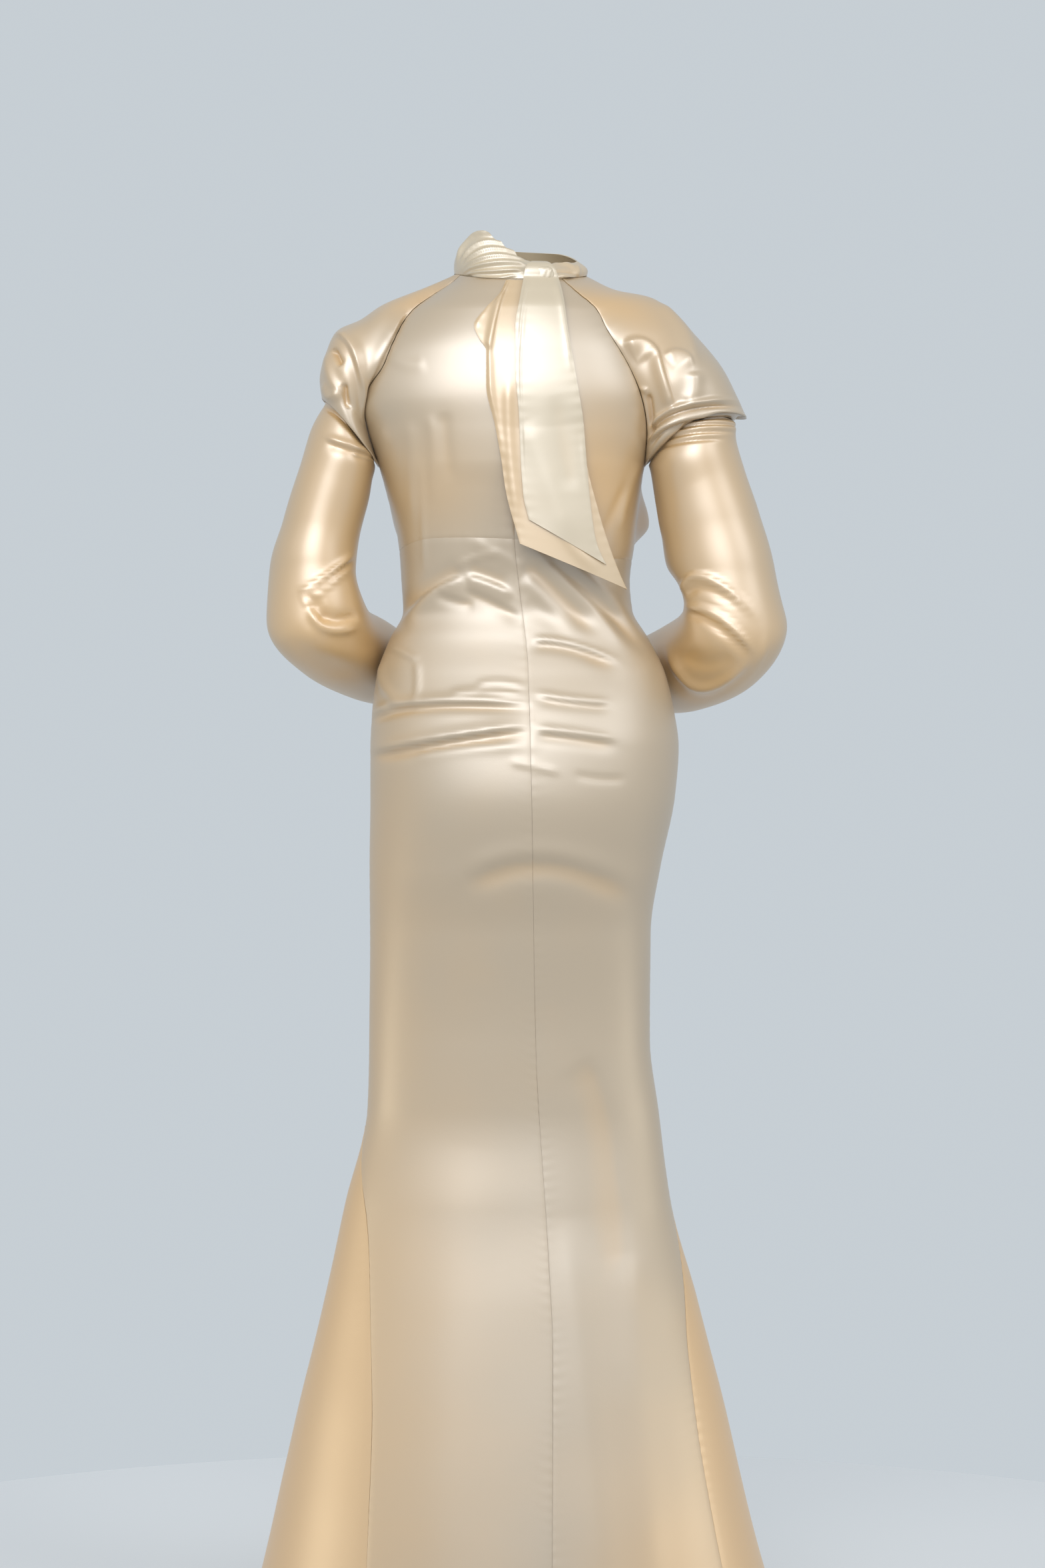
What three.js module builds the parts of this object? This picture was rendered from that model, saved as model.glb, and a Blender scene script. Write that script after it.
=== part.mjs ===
// Long-sleeved mermaid gown of champagne satin with a tied scarf collar, in millimetres, +Z up.
// The front faces -Y and the wearer's left is +X. The origin is the base of the neck, where the
// shoulders hold the gown up. Every piece is one closed wall of cloth, worked out from sections.
import * as THREE from 'three';

const { abs, atan2, cos, exp, hypot, max, min, PI, sign, sin } = Math;

// Driving sizes
const WALL = 2;                // satin with its seam allowance and backing
const SEAM = 0.3;              // gap between two sewn pieces
const HEM_Z = -1560;
const NECK_BACK_Z = -14;       // neckline at the centre back
const NECK_FRONT_Z = -34;      // neckline at the centre front
const SLEEVE_CLEARANCE = 3;    // between a sleeve and the side of the gown
const CLEAR_SOFTLY = 5;        // how gradually a sleeve is kept off the gown,
const CLEAR_WITHIN = 30;       // and how near it has to be
const SIDE_FADE = 25;          // folds of the back fade out this far from the side line
const SECTION_POWER = 2.25;    // 2 is an ellipse, more is squarer

// Trunk sections, from the neck to the hem: half widths, depths from the side line, and that line's y
const TRUNK_ROWS = [
  // z, left, right, back, front, mid
  [2, 70, 72, 64, 50, -8],
  [-8, 77, 78, 68, 54, -8],
  [-28, 106, 102, 80, 62, -6],
  [-50, 140, 125, 92, 78, -4],
  [-100, 180, 152, 103, 108, 0],
  [-150, 192, 165, 106, 130, 2],
  [-185, 178, 158, 104, 140, 2],
  [-222, 163, 144, 100, 144, 2],
  [-254, 154, 139, 95, 140, 0],
  [-315, 140, 132, 84, 124, -2],
  [-356, 137, 127, 78, 110, -4],
  [-390, 135, 130, 76, 104, -4],
  [-421, 150, 148, 82, 104, -2],
  [-462, 165, 168, 98, 108, 0],
  [-501, 170, 177, 112, 110, 4],
  [-547, 172, 183, 122, 112, 8],
  [-600, 172, 179, 125, 112, 10],
  [-684, 173, 162, 112, 112, 8],
  [-760, 173, 151, 96, 110, 4],
  [-884, 174, 150, 84, 104, 0],
  [-963, 176, 160, 82, 102, 0],
  [-1070, 201, 174, 98, 112, 0],
  [-1180, 225, 204, 126, 132, 0],
  [-1300, 254, 235, 158, 158, 0],
  [-1433, 284, 266, 196, 188, 0],
  [HEM_Z, 313, 301, 232, 216, 0],
];

// Centre back seam, seen from behind
const CENTRE_BACK_ROWS = [
  // z, x
  [-14, 4],
  [-200, 7],
  [-312, 6],
  [-356, 2],
  [-453, -9],
  [-592, -13],
  [-884, -18],
  [-1120, -32],
  [-1230, -37],
  [HEM_Z, -35],
];

// Largest folds of the trunk's back, each an arc through three points; a rise below 0 is a trough
const BACK_FOLD_ROWS = [
  // x1, z1, x2, z2, x3, z3, rise, width above, width below
  [134, -402, 98, -366, 60, -351, 6, 16, 5],
  [60, -351, 34, -357, 4, -371, 5, 14, 5],
  [128, -412, 92, -382, 40, -376, -5, 6, 16],
  [76, -345, 51, -333, 25, -329, 3, 7, 8],
  [154, -436, 116, -446, 119, -498, 5, 9, 6],
  [171, -507, 110, -496, -9, -494, 4, 7, 5],
  [171, -516, 110, -500, -9, -503, -5, 5, 7],
  [171, -558, 90, -538, -10, -524, -5, 6, 14],
  [171, -549, 90, -529, -10, -516, 3, 7, 5],
  [-14, -496, -60, -497, -104, -506, -3, 6, 9],
  [-14, -531, -60, -533, -98, -545, -3, 6, 9],
  [-2, -325, -70, -384, -146, -440, -4, 12, 14],
  [-30, -330, -90, -372, -140, -404, 3, 10, 10],
  [-10, -360, -70, -415, -150, -478, 3, 12, 12],
  [62, -708, -30, -680, -140, -732, -5, 12, 18],
  [-69, -900, -100, -1020, -116, -1240, -9, 22, 18],
  [-58, -1150, -80, -1300, -102, -1500, 8, 20, 18],
];

// Fullness of the bodice front where it blouses over the waist
const BLOUSE = { top: -226, bottom: -322, peak: -288, left: 8, right: 24 };

// Godets let into the side seams: their edges' angles from the side line
const GODETS = {
  left: { apex: -983, rows: [[-983, 0.9], [-1080, 18], [-1198, 29.5], [-1316, 38.5], [HEM_Z, 50]] },
  right: { apex: -1080, rows: [[-1080, 0.9], [-1160, 14], [-1237, 22], [-1343, 27], [HEM_Z, 31]] },
};

// Raglan seams and shoulder ridges as (x, z) from the neck to the armpit or to the cap's lip
const ARMS = {
  left: {
    side: 1,
    backSeam: [
      [69, -4], [125, -49], [144, -85], [156, -114],
      [173, -138], [178, -156], [175, -182], [163, -222],
    ],
    frontSeam: [
      [64, -18], [104, -52], [128, -84], [142, -118],
      [151, -150], [159, -190], [163, -222],
    ],
    ridge: [
      [76, -1], [111, -17], [158, -36], [184, -54],
      [211, -68], [224, -96], [231, -122], [228, -146],
    ],
    lip: 6,
    lift: 4,
    folds: [
      // x1, z1, x2, z2, x3, z3, rise, width on the near side, width on the far side
      [208, -72, 178, -112, 184, -172, 7, 9, 7],
      [217, -80, 208, -98, 207, -116, -6, 8, 7],
      [206, -112, 198, -164, 168, -204, -5, 7, 6],
      [199, -142, 192, -154, 186, -168, -6, 8, 8],
      [226, -108, 216, -134, 200, -142, 6, 8, 7],
    ],
    // centre x, y, z, the way to the outside x, y, z, half width, half depth
    sleeve: [
      [205, 9, -209, 0.78, 0, 0.62, 45.5, 55],
      [214, 10, -244, 0.91, 0, 0.41, 44, 54],
      [228, 12, -292, 0.98, 0.05, 0.17, 45, 53],
      [238, 15, -339, 0.94, 0.34, 0, 49, 54],
      [236, 22, -392, 0.575, 0.637, -0.51, 60, 55],
      [214, -22, -424, 0.4, 0.4, -0.82, 53, 52],
      [180, -78, -442, 0.28, 0.19, -0.94, 50, 45],
      [143, -130, -457, 0.26, 0.15, -0.95, 42, 38],
    ],
    cuff: [
      [116, -160, -466, 0.26, 0.15, -0.95, 33, 32],
      [94, -184, -474, 0.26, 0.15, -0.95, 31, 30],
    ],
    sleeveFolds: [
      [252, -376, 225, -350, 184, -322, 6, 6, 6],
      [250, -390, 222, -366, 190, -344, -6, 7, 7],
      [250, -384, 246, -414, 196, -408, 5, 7, 7],
    ],
  },
  right: {
    side: -1,
    backSeam: [
      [-48, -12], [-65, -28], [-87, -48], [-99, -72],
      [-124, -114], [-138, -148], [-145, -182], [-144, -222],
    ],
    frontSeam: [
      [-58, -18], [-96, -52], [-116, -84], [-128, -118],
      [-135, -150], [-142, -190], [-144, -222],
    ],
    ridge: [
      [-77, -2], [-108, -17], [-157, -30], [-196, -65],
      [-218, -90], [-236, -114], [-252, -146], [-261, -168],
    ],
    lip: 15,
    lift: 22,
    folds: [
      [-159, -35, -190, -70, -198, -125, 7, 12, 12],
      [-126, -88, -146, -104, -152, -134, -9, 12, 9],
      [-154, -94, -166, -130, -178, -166, 8, 7, 7],
      [-150, -138, -158, -150, -164, -162, -8, 8, 8],
      [-160, -170, -190, -172, -226, -160, 5, 6, 6],
    ],
    sleeve: [
      [-200, 9, -214, -0.94, 0, 0.33, 53, 58],
      [-208, 10, -248, -0.94, 0, 0.35, 55, 57],
      [-219, 12, -290, -0.97, 0.05, 0.2, 58, 56],
      [-232, 14, -342, -0.94, 0.34, 0, 62, 57],
      [-248, 22, -396, -0.575, 0.637, -0.51, 64, 58],
      [-230, -18, -432, -0.4, 0.4, -0.82, 60, 56],
      [-192, -76, -452, -0.28, 0.19, -0.94, 54, 47],
      [-150, -130, -463, -0.26, 0.15, -0.95, 44, 39],
    ],
    cuff: [
      [-120, -160, -470, -0.26, 0.15, -0.95, 33, 32],
      [-98, -184, -478, -0.26, 0.15, -0.95, 31, 30],
    ],
    sleeveFolds: [
      [-186, -376, -212, -350, -268, -392, 7, 8, 8],
      [-190, -384, -226, -396, -262, -436, -6, 8, 8],
      [-170, -452, -226, -490, -292, -420, 6, 9, 9],
    ],
  },
};

// Shoulder sections from the neck to the cap: how far each section's arc is drawn out at the seam,
// along the section and backwards, and at the ridge
const CAP_ROWS = [
  // station, along, backwards, ridge
  [0, 6, -8, 10],
  [0.25, 14, -6, 24],
  [0.5, 26, 8, 46],
  [0.75, 24, 38, 70],
  [1, 2, 76, 74],
];
const FRONT_FULLNESS = 0.92;   // the front of a cap against its back
const RIDGE_Y_ROWS = [[0, -8], [0.4, -2], [1, 8]];

// Scarf collar: its top edge and its lean, round the neck from the wearer's left
const COLLAR_ROWS = [
  // degrees, top z, outward bulge
  [0, 38, 6],
  [40, 43, 7],
  [72, 24, 7],
  [98, 8, 6],
  [130, 6, 6],
  [180, 16, 6],
  [225, 30, 6],
  [270, 34, 6],
  [315, 36, 6],
  [360, 38, 6],
];
const COLLAR_TOP = { left: 60, right: 66, back: 52, front: 56, mid: -10 };
const COLLAR_PLEATS = { count: 5, from: 12, to: 84, rise: 2.2 };

// Knot at the back of the neck, and the tails that hang from it
const KNOT = { x: -20, z: -5, wide: 19, high: 13, deep: 9, off: 6 };
const UPPER_TAIL_ROWS = [
  // z, left x, right x
  [-15, -6, -38],
  [-39, 0, -50],
  [-72, 5, -54],
  [-119, 5, -62],
  [-174, 1, -71],
  [-223, -1, -77],
  [-265, -4, -85],
  [-291, -10, -98],
];
const UNDER_TAIL_ROWS = [
  [-16, 16, -30],
  [-39, 24, -40],
  [-70, 50, -46],
  [-100, 38, -52],
  [-139, 38, -60],
  [-185, 28, -70],
  [-223, 21, -76],
  [-258, 16, -90],
  [-318, 0, -122],
];
const TAIL_POINT = 50;         // how much lower a tail's right corner hangs than its left one
const UNDER_TAIL_OFF = WALL + 0.8;
const UPPER_TAIL_OFF = UNDER_TAIL_OFF + WALL + 0.95;

// Grid sizes
const BACK_COLUMNS = 9;
const FRONT_COLUMNS = 14;
const GODET_COLUMNS = 6;
const RAGLAN_STATIONS = 9;
const CAP_COLUMNS = 20;
const SLEEVE_STEPS = 16;
const COLLAR_COLUMNS = 36;
const TAIL_COLUMNS = 5;
const CURVE_DIVISIONS = 400;
const SHORT_STEP = 0.004;      // for a surface's slope, as a share or in radians
const SLEEVE_STEP = 0.01;
const EDGE_INSIDE = 0.01;      // a slope at an edge is taken this share inside it

const SATIN = { color: 0xe2cfa6, roughness: 0.32, metalness: 0 };

// Smooth curve through a short table, without overshoot, held level past its ends
function smoothTable(keys, values) {
  const last = keys.length - 1;
  const steps = keys.slice(1).map((key, i) => (values[i + 1] - values[i]) / (key - keys[i]));
  const slopes = values.map((value, i) => {
    if (i === 0) return steps[0];
    if (i === last) return steps[last - 1];
    if (steps[i - 1] * steps[i] <= 0) return 0;
    return (2 * steps[i - 1] * steps[i]) / (steps[i - 1] + steps[i]);
  });
  return (key) => {
    const held = min(max(key, keys[0]), keys[last]);
    let i = 0;
    while (i < last - 1 && held > keys[i + 1]) i += 1;
    const span = keys[i + 1] - keys[i];
    const t = (held - keys[i]) / span;
    const a = values[i] * (1 + 2 * t) * (1 - t) ** 2 + values[i + 1] * (3 - 2 * t) * t * t;
    return a + span * (slopes[i] * t * (1 - t) ** 2 + slopes[i + 1] * t * t * (t - 1));
  };
}

// A table whose first column falls, read by that column
function byHeight(rows, column) {
  const lookup = smoothTable(rows.map((row) => -row[0]), rows.map((row) => row[column]));
  return (z) => lookup(-z);
}

// A table whose first column rises, read by that column
function byStation(rows, column) {
  return smoothTable(rows.map((row) => row[0]), rows.map((row) => row[column]));
}

const [, halfLeft, halfRight, depthBack, depthFront, sideLine] =
  TRUNK_ROWS[0].map((_, column) => byHeight(TRUNK_ROWS, column));
const centreBackX = byHeight(CENTRE_BACK_ROWS, 1);

const lerp = (a, b, t) => a + (b - a) * t;
const bell = (t) => exp(-t * t);
const radians = THREE.MathUtils.degToRad;
const smoothstep = THREE.MathUtils.smoothstep;

// Height of one fold at a point of the plane it is drawn in
function foldHeight([x1, z1, x2, z2, x3, z3, rise, above, below], x, z) {
  const pieces = 10;
  let nearest = Infinity;
  let height = 0;
  for (let i = 0; i < pieces; i += 1) {
    const [ax, az] = arcPoint(i / pieces);
    const [bx, bz] = arcPoint((i + 1) / pieces);
    const along = ((x - ax) * (bx - ax) + (z - az) * (bz - az)) / ((bx - ax) ** 2 + (bz - az) ** 2);
    const t = min(max(along, 0), 1);
    const dx = x - lerp(ax, bx, t);
    const dz = z - lerp(az, bz, t);
    const distance = hypot(dx, dz);
    if (distance >= nearest) continue;
    nearest = distance;
    const way = sign((bx - ax) * dz - (bz - az) * dx) * sign(x3 - x1 || 1);
    const place = (i + t) / pieces;
    const fade = smoothstep(place, -0.05, 0.2) * smoothstep(1 - place, -0.05, 0.2);
    height = rise * fade * bell(distance / (way > 0 ? above : below));
  }
  return height;

  function arcPoint(t) {
    const [a, b, c] = [(1 - t) * (1 - 2 * t), 4 * t * (1 - t), t * (2 * t - 1)];
    return [a * x1 + b * x2 + c * x3, a * z1 + b * z2 + c * z3];
  }
}

// Relief of the trunk over its sections
function trunkRelief(x, z, y, angle) {
  if (y > 0) {
    const share = smoothstep(y, 0, SIDE_FADE);
    return share * BACK_FOLD_ROWS.reduce((sum, fold) => sum + foldHeight(fold, x, z), 0);
  }
  const { top, bottom, peak } = BLOUSE;
  const up = z > peak ? (top - z) / (top - peak) : (z - bottom) / (peak - bottom);
  const drop = smoothstep(up, 0, 1);
  const fromSide = abs(sin(angle));
  const full = cos(angle) > 0 ? BLOUSE.left : BLOUSE.right;
  return drop * full * smoothstep(fromSide, 0.02, 0.4);
}

// A point of the trunk's outer face at an angle round it: 0 left side, 90 back, 180 right side
function trunkPoint(angle, z, out = 0) {
  const wide = cos(angle) > 0 ? halfLeft(z) : halfRight(z);
  const deep = sin(angle) > 0 ? depthBack(z) : depthFront(z);
  const n = SECTION_POWER;
  const radius = (abs(cos(angle) / wide) ** n + abs(sin(angle) / deep) ** n) ** (-1 / n);
  const x = radius * cos(angle);
  const y = radius * sin(angle);
  const across = new THREE.Vector2(
    sign(x) * abs(x / wide) ** (n - 1) / wide,
    sign(y) * abs(y / deep) ** (n - 1) / deep,
  );
  across.normalize().multiplyScalar(out + trunkRelief(x, z, y, angle));
  return new THREE.Vector3(x + across.x, sideLine(z) + y + across.y, z);
}

// The angle at which the trunk's back (way 1) or front (way -1) has a given x
function trunkAngle(x, z, way) {
  const wide = x > 0 ? halfLeft(z) : halfRight(z);
  const deep = way > 0 ? depthBack(z) : depthFront(z);
  const share = min(abs(x) / wide, 1);
  return atan2(way * deep * (1 - share ** SECTION_POWER) ** (1 / SECTION_POWER), x);
}

function normalOf(surface, u, v, stepU, stepV) {
  const along = surface(u + stepU, v).sub(surface(u - stepU, v));
  const down = surface(u, v + stepV).sub(surface(u, v - stepV));
  return along.cross(down).normalize();
}

function trunkNormal(angle, z) {
  return normalOf(trunkPoint, angle, z, SHORT_STEP, 1);
}

// One closed wall from rows of outer points, each with its way out
function wallMesh(name, rows, { ring = false, wall = WALL } = {}) {
  const across = rows[0].length;
  const down = rows.length;
  const points = [];
  rows.forEach((row) => row.forEach(({ at }) => points.push(at)));
  rows.forEach((row) => row.forEach(({ at, out }) => points.push(at.clone().addScaledVector(out, -wall))));
  const inner = across * down;
  const faces = [];
  const quad = (a, b, c, d) => faces.push(a, b, c, a, c, d);
  const index = (j, i) => j * across + (i % across);
  const cells = ring ? across : across - 1;
  for (let j = 0; j < down - 1; j += 1) {
    for (let i = 0; i < cells; i += 1) {
      const [a, b, c, d] = [index(j, i), index(j, i + 1), index(j + 1, i + 1), index(j + 1, i)];
      quad(a, b, c, d);
      quad(a + inner, d + inner, c + inner, b + inner);
    }
  }
  for (let i = 0; i < cells; i += 1) {
    const [a, b] = [index(0, i), index(0, i + 1)];
    quad(a, a + inner, b + inner, b);
    const [c, d] = [index(down - 1, i), index(down - 1, i + 1)];
    quad(c, d, d + inner, c + inner);
  }
  for (let j = 0; j < down - 1 && !ring; j += 1) {
    const [a, b] = [index(j, 0), index(j + 1, 0)];
    quad(a, b, b + inner, a + inner);
    const [c, d] = [index(j, across - 1), index(j + 1, across - 1)];
    quad(c, c + inner, d + inner, d);
  }
  return closedMesh(name, points, faces);
}

// A mesh whose faces point out, whichever way its grid runs
function closedMesh(name, points, faces) {
  let volume = 0;
  for (let i = 0; i < faces.length; i += 3) {
    const [a, b, c] = [points[faces[i]], points[faces[i + 1]], points[faces[i + 2]]];
    volume += a.dot(b.clone().cross(c));
  }
  const order = volume > 0 ? faces : faces.map((_, i) => faces[i - (i % 3) + 2 - (i % 3)]);
  const geometry = new THREE.BufferGeometry().setFromPoints(points);
  geometry.setIndex(order);
  geometry.computeVertexNormals();
  const mesh = new THREE.Mesh(geometry, new THREE.MeshStandardMaterial(SATIN));
  mesh.name = name;
  return mesh;
}

const gown = new THREE.Group();
const add = (mesh) => gown.add(mesh);

// Seam stations from the neck to the armpit
const raglanStations = Array.from({ length: RAGLAN_STATIONS + 1 }, (_, k) => k / RAGLAN_STATIONS);

function planeCurve(points) {
  const places = points.map(([x, z]) => new THREE.Vector3(x, 0, z));
  const curve = new THREE.CatmullRomCurve3(places, false, 'centripetal');
  curve.arcLengthDivisions = CURVE_DIVISIONS;
  return (t) => curve.getPointAt(min(max(t, 0), 1));
}

for (const arm of Object.values(ARMS)) {
  for (const [name, way] of [['backSeam', 1], ['frontSeam', -1]]) {
    const curve = planeCurve(arm[name]);
    arm[name] = (t) => {
      const { x, z } = curve(t);
      return { z, angle: trunkAngle(x, z, way) };
    };
  }
  const ridge = planeCurve(arm.ridge);
  const ridgeY = byStation(RIDGE_Y_ROWS, 1);
  arm.ridge = (t) => ridge(t).setY(ridgeY(t));
}

// Waist seam: its height round the trunk
const WAIST_ROWS = [
  // degrees, z
  [-90, -326],
  [0, -321],
  [35, -309],
  [90, -312],
  [125, -332],
  [180, -331],
  [270, -326],
];
const waistAt = byStation(WAIST_ROWS, 1);
const waistZ = (angle) => waistAt(THREE.MathUtils.radToDeg(angle < -PI / 2 ? angle + 2 * PI : angle));

// Where the side seam starts, and its stations down to the waist
const SIDE_STEPS = [0.2, 0.4, 0.6, 0.8, 1];
const HALF_SEAM = SEAM / 2;

// Stations of the skirt from the waist to the hem; the godets start at two of them
const UPPER_SKIRT_STEPS = [
  0, 0.014, 0.028, 0.042, 0.056, 0.07, 0.084, 0.1, 0.118, 0.136,
  0.148, 0.16, 0.174, 0.19, 0.22, 0.26, 0.3, 0.34, 0.39, 0.46,
];
const LOWER_SKIRT_STEPS = [0.534, 0.55, 0.575, 0.609, 0.63, 0.67, 0.73, 0.8, 0.87, 0.94, 1];
const LEFT_APEX = 0;
const RIGHT_APEX = 3;

// A panel of the trunk between two edges, each a list of angles and heights with one entry a row.
// Columns between them share the rows out between the panel's top and bottom lines.
function trunkPanel(name, first, second, columns, topZ, bottomZ) {
  const last = first.length - 1;
  const share = (edge, k) => (edge[k].z - edge[0].z) / (edge[last].z - edge[0].z);
  const rows = first.map((_, k) => {
    const row = [];
    for (let i = 0; i <= columns; i += 1) {
      const u = i / columns;
      const v = lerp(share(first, k), share(second, k), u);
      const topAngle = lerp(first[0].angle, second[0].angle, u);
      const bottomAngle = lerp(first[last].angle, second[last].angle, u);
      const lift = (k === 0 ? -HALF_SEAM : 0) + (k === last ? HALF_SEAM : 0);
      const z = lerp(topZ(u, topAngle), bottomZ(u, bottomAngle), v) + lift;
      const middle = lerp(first[k].angle, second[k].angle, u);
      const { x, y } = trunkPoint(middle, z);
      const inset = (i === 0 ? HALF_SEAM : 0) - (i === columns ? HALF_SEAM : 0);
      const angle = middle + sign(second[k].angle - first[k].angle) * inset / hypot(x, y);
      row.push({ at: trunkPoint(angle, z), out: trunkNormal(angle, z) });
    }
    return row;
  });
  return wallMesh(name, rows);
}

// An edge down a raglan seam to the armpit and on down the side seam to the waist
function bodiceEdge(seam, sideAngle) {
  const raglan = raglanStations.map((t) => seam(t));
  const armpit = raglan[raglan.length - 1];
  const side = SIDE_STEPS.map((t) => ({ z: lerp(armpit.z, waistZ(sideAngle), t), angle: sideAngle }));
  return [...raglan.slice(0, -1), { z: armpit.z, angle: sideAngle }, ...side];
}

// The centre back seam, with the rows of the edge on the panel's other side
function centreBackEdge(other, top, bottom) {
  const last = other.length - 1;
  return other.map(({ z }) => {
    const own = lerp(top, bottom, (z - other[0].z) / (other[last].z - other[0].z));
    return { z: own, angle: trunkAngle(centreBackX(own), own, 1) };
  });
}

const WAIST_BACK_Z = waistZ(PI / 2);
const leftBackEdge = bodiceEdge(ARMS.left.backSeam, 0);
const rightBackEdge = bodiceEdge(ARMS.right.backSeam, PI);
const leftFrontEdge = bodiceEdge(ARMS.left.frontSeam, 0);
const rightFrontEdge = bodiceEdge(ARMS.right.frontSeam, -PI);

for (const [name, edge] of [['bodice_back_left', leftBackEdge], ['bodice_back_right', rightBackEdge]]) {
  const centre = centreBackEdge(edge, NECK_BACK_Z, WAIST_BACK_Z);
  const topZ = (u) => lerp(NECK_BACK_Z, edge[0].z, u * u);
  add(trunkPanel(name, centre, edge, BACK_COLUMNS, topZ, (_, angle) => waistZ(angle)));
}
const neckFrontZ = (u) => lerp(NECK_FRONT_Z, leftFrontEdge[0].z, (2 * u - 1) ** 2);
const waistLine = (_, angle) => waistZ(angle);
add(trunkPanel('bodice_front', leftFrontEdge, rightFrontEdge, FRONT_COLUMNS, neckFrontZ, waistLine));

// Edges of the skirt's panels: the side seam, and below its apex the godet's seam
function skirtEdge(steps, sideAngle, godet, apex, way) {
  const opening = byHeight(godet.rows, 1);
  const top = waistZ(sideAngle);
  return steps.map((t) => {
    const z = lerp(top, HEM_Z, t);
    const open = t < LOWER_SKIRT_STEPS[apex] ? 0 : radians(opening(z));
    return { z, angle: sideAngle + way * open };
  });
}

const skirtSteps = [...UPPER_SKIRT_STEPS, ...LOWER_SKIRT_STEPS];
const hemZ = () => HEM_Z;
const skirtTop = (_, angle) => waistZ(angle);
const leftSkirtBack = skirtEdge(skirtSteps, 0, GODETS.left, LEFT_APEX, 1);
const rightSkirtBack = skirtEdge(skirtSteps, PI, GODETS.right, RIGHT_APEX, -1);
const leftSkirtFront = skirtEdge(skirtSteps, 0, GODETS.left, LEFT_APEX, -1);
const rightSkirtFront = skirtEdge(skirtSteps, -PI, GODETS.right, RIGHT_APEX, 1);
for (const [name, edge] of [['skirt_back_left', leftSkirtBack], ['skirt_back_right', rightSkirtBack]]) {
  add(trunkPanel(name, centreBackEdge(edge, WAIST_BACK_Z, HEM_Z), edge, BACK_COLUMNS, skirtTop, hemZ));
}
add(trunkPanel('skirt_front', leftSkirtFront, rightSkirtFront, FRONT_COLUMNS, skirtTop, hemZ));

function godetEdges(sideAngle, godet, apex, turn) {
  const steps = LOWER_SKIRT_STEPS.slice(apex);
  const back = skirtEdge(steps, sideAngle, godet, apex, turn);
  const front = skirtEdge(steps, sideAngle, godet, apex, -turn);
  return [back, front];
}
for (const [name, sideAngle, godet, apex, turn] of [
  ['godet_left', 0, GODETS.left, LEFT_APEX, 1],
  ['godet_right', PI, GODETS.right, RIGHT_APEX, -1],
]) {
  const [back, front] = godetEdges(sideAngle, godet, apex, turn);
  add(trunkPanel(name, back, front, GODET_COLUMNS, () => back[0].z, hemZ));
}

const [alongSeam, backwards, atRidge] = [1, 2, 3].map((column) => byStation(CAP_ROWS, column));

// A point of a cap: t runs from the neck to the lip, side from -1 at the back seam over the ridge to 1
function capPoint(arm, t, side) {
  const seam = side < 0 ? arm.backSeam(t) : arm.frontSeam(t);
  const way = side < 0 ? 1 : -FRONT_FULLNESS;
  const start = trunkPoint(seam.angle, seam.z);
  const ridge = arm.ridge(t);
  const outward = ridge.clone().sub(start).setY(0).normalize();
  const leave = outward.multiplyScalar(alongSeam(t)).add(new THREE.Vector3(0, way * backwards(t), 0));
  const normal = trunkNormal(seam.angle, seam.z);
  const folded = max(0, -leave.clone().normalize().dot(away(seam.angle, seam.z, sign(way) * arm.side)));
  start.addScaledVector(leave.clone().normalize(), HALF_SEAM).addScaledVector(normal, SEAM * folded);
  const over = ridge.clone().setY(ridge.y + way * atRidge(t));
  const curve = new THREE.CubicBezierCurve3(start, start.clone().add(leave), over, ridge);
  const point = curve.getPoint(1 - abs(side));
  point.z += arm.lift * t ** 3 * sin(PI * side) ** 2;
  return point;
}

// The way along the trunk's face, out of a panel through its raglan seam
function away(angle, z, turn) {
  const step = turn * SHORT_STEP;
  return trunkPoint(angle - step, z).sub(trunkPoint(angle + step, z)).normalize();
}

function reliefPoint(surface, folds, turn) {
  return (u, v) => {
    const base = surface(u, v);
    const normal = normalOf(surface, u, v, SHORT_STEP, SHORT_STEP).multiplyScalar(turn);
    const share = smoothstep(normal.y, -0.1, 0.5);
    const height = folds.reduce((sum, fold) => sum + foldHeight(fold, base.x, base.z), 0);
    return base.addScaledVector(normal, share * height);
  };
}

// Rolled lip of a cap: how far it goes down and in towards the sleeve's seam, in shares of the lip
const LIP_ROWS = [
  // down, in
  [0.3, 0.05],
  [0.45, 0.45],
  [0.2, 1],
];
const LIP_AT_ARMPIT = 0.06;

function capLoop(arm, side) {
  const middle = capPoint(arm, 1, -1).add(capPoint(arm, 1, 0)).multiplyScalar(0.5);
  const point = capPoint(arm, 1, side);
  const inward = middle.sub(point).normalize();
  const across = capPoint(arm, 1, 0).sub(capPoint(arm, 1, -1)).normalize();
  const down = across.cross(new THREE.Vector3(0, arm.side, 0)).normalize();
  const size = arm.lip * max(LIP_AT_ARMPIT, cos(PI * side / 2));
  return { point, inward, down, size };
}

// The loop on which a sleeve is sewn to its cap
function sleeveSeam(arm, side) {
  const { point, inward, down, size } = capLoop(arm, side);
  const [fall, depth] = LIP_ROWS[LIP_ROWS.length - 1];
  const at = point.addScaledVector(down, size * fall).addScaledVector(inward, size * depth);
  return { at, inward, down };
}

const armSides = Array.from({ length: CAP_COLUMNS + 1 }, (_, i) => -1 + (2 * i) / CAP_COLUMNS);

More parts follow.
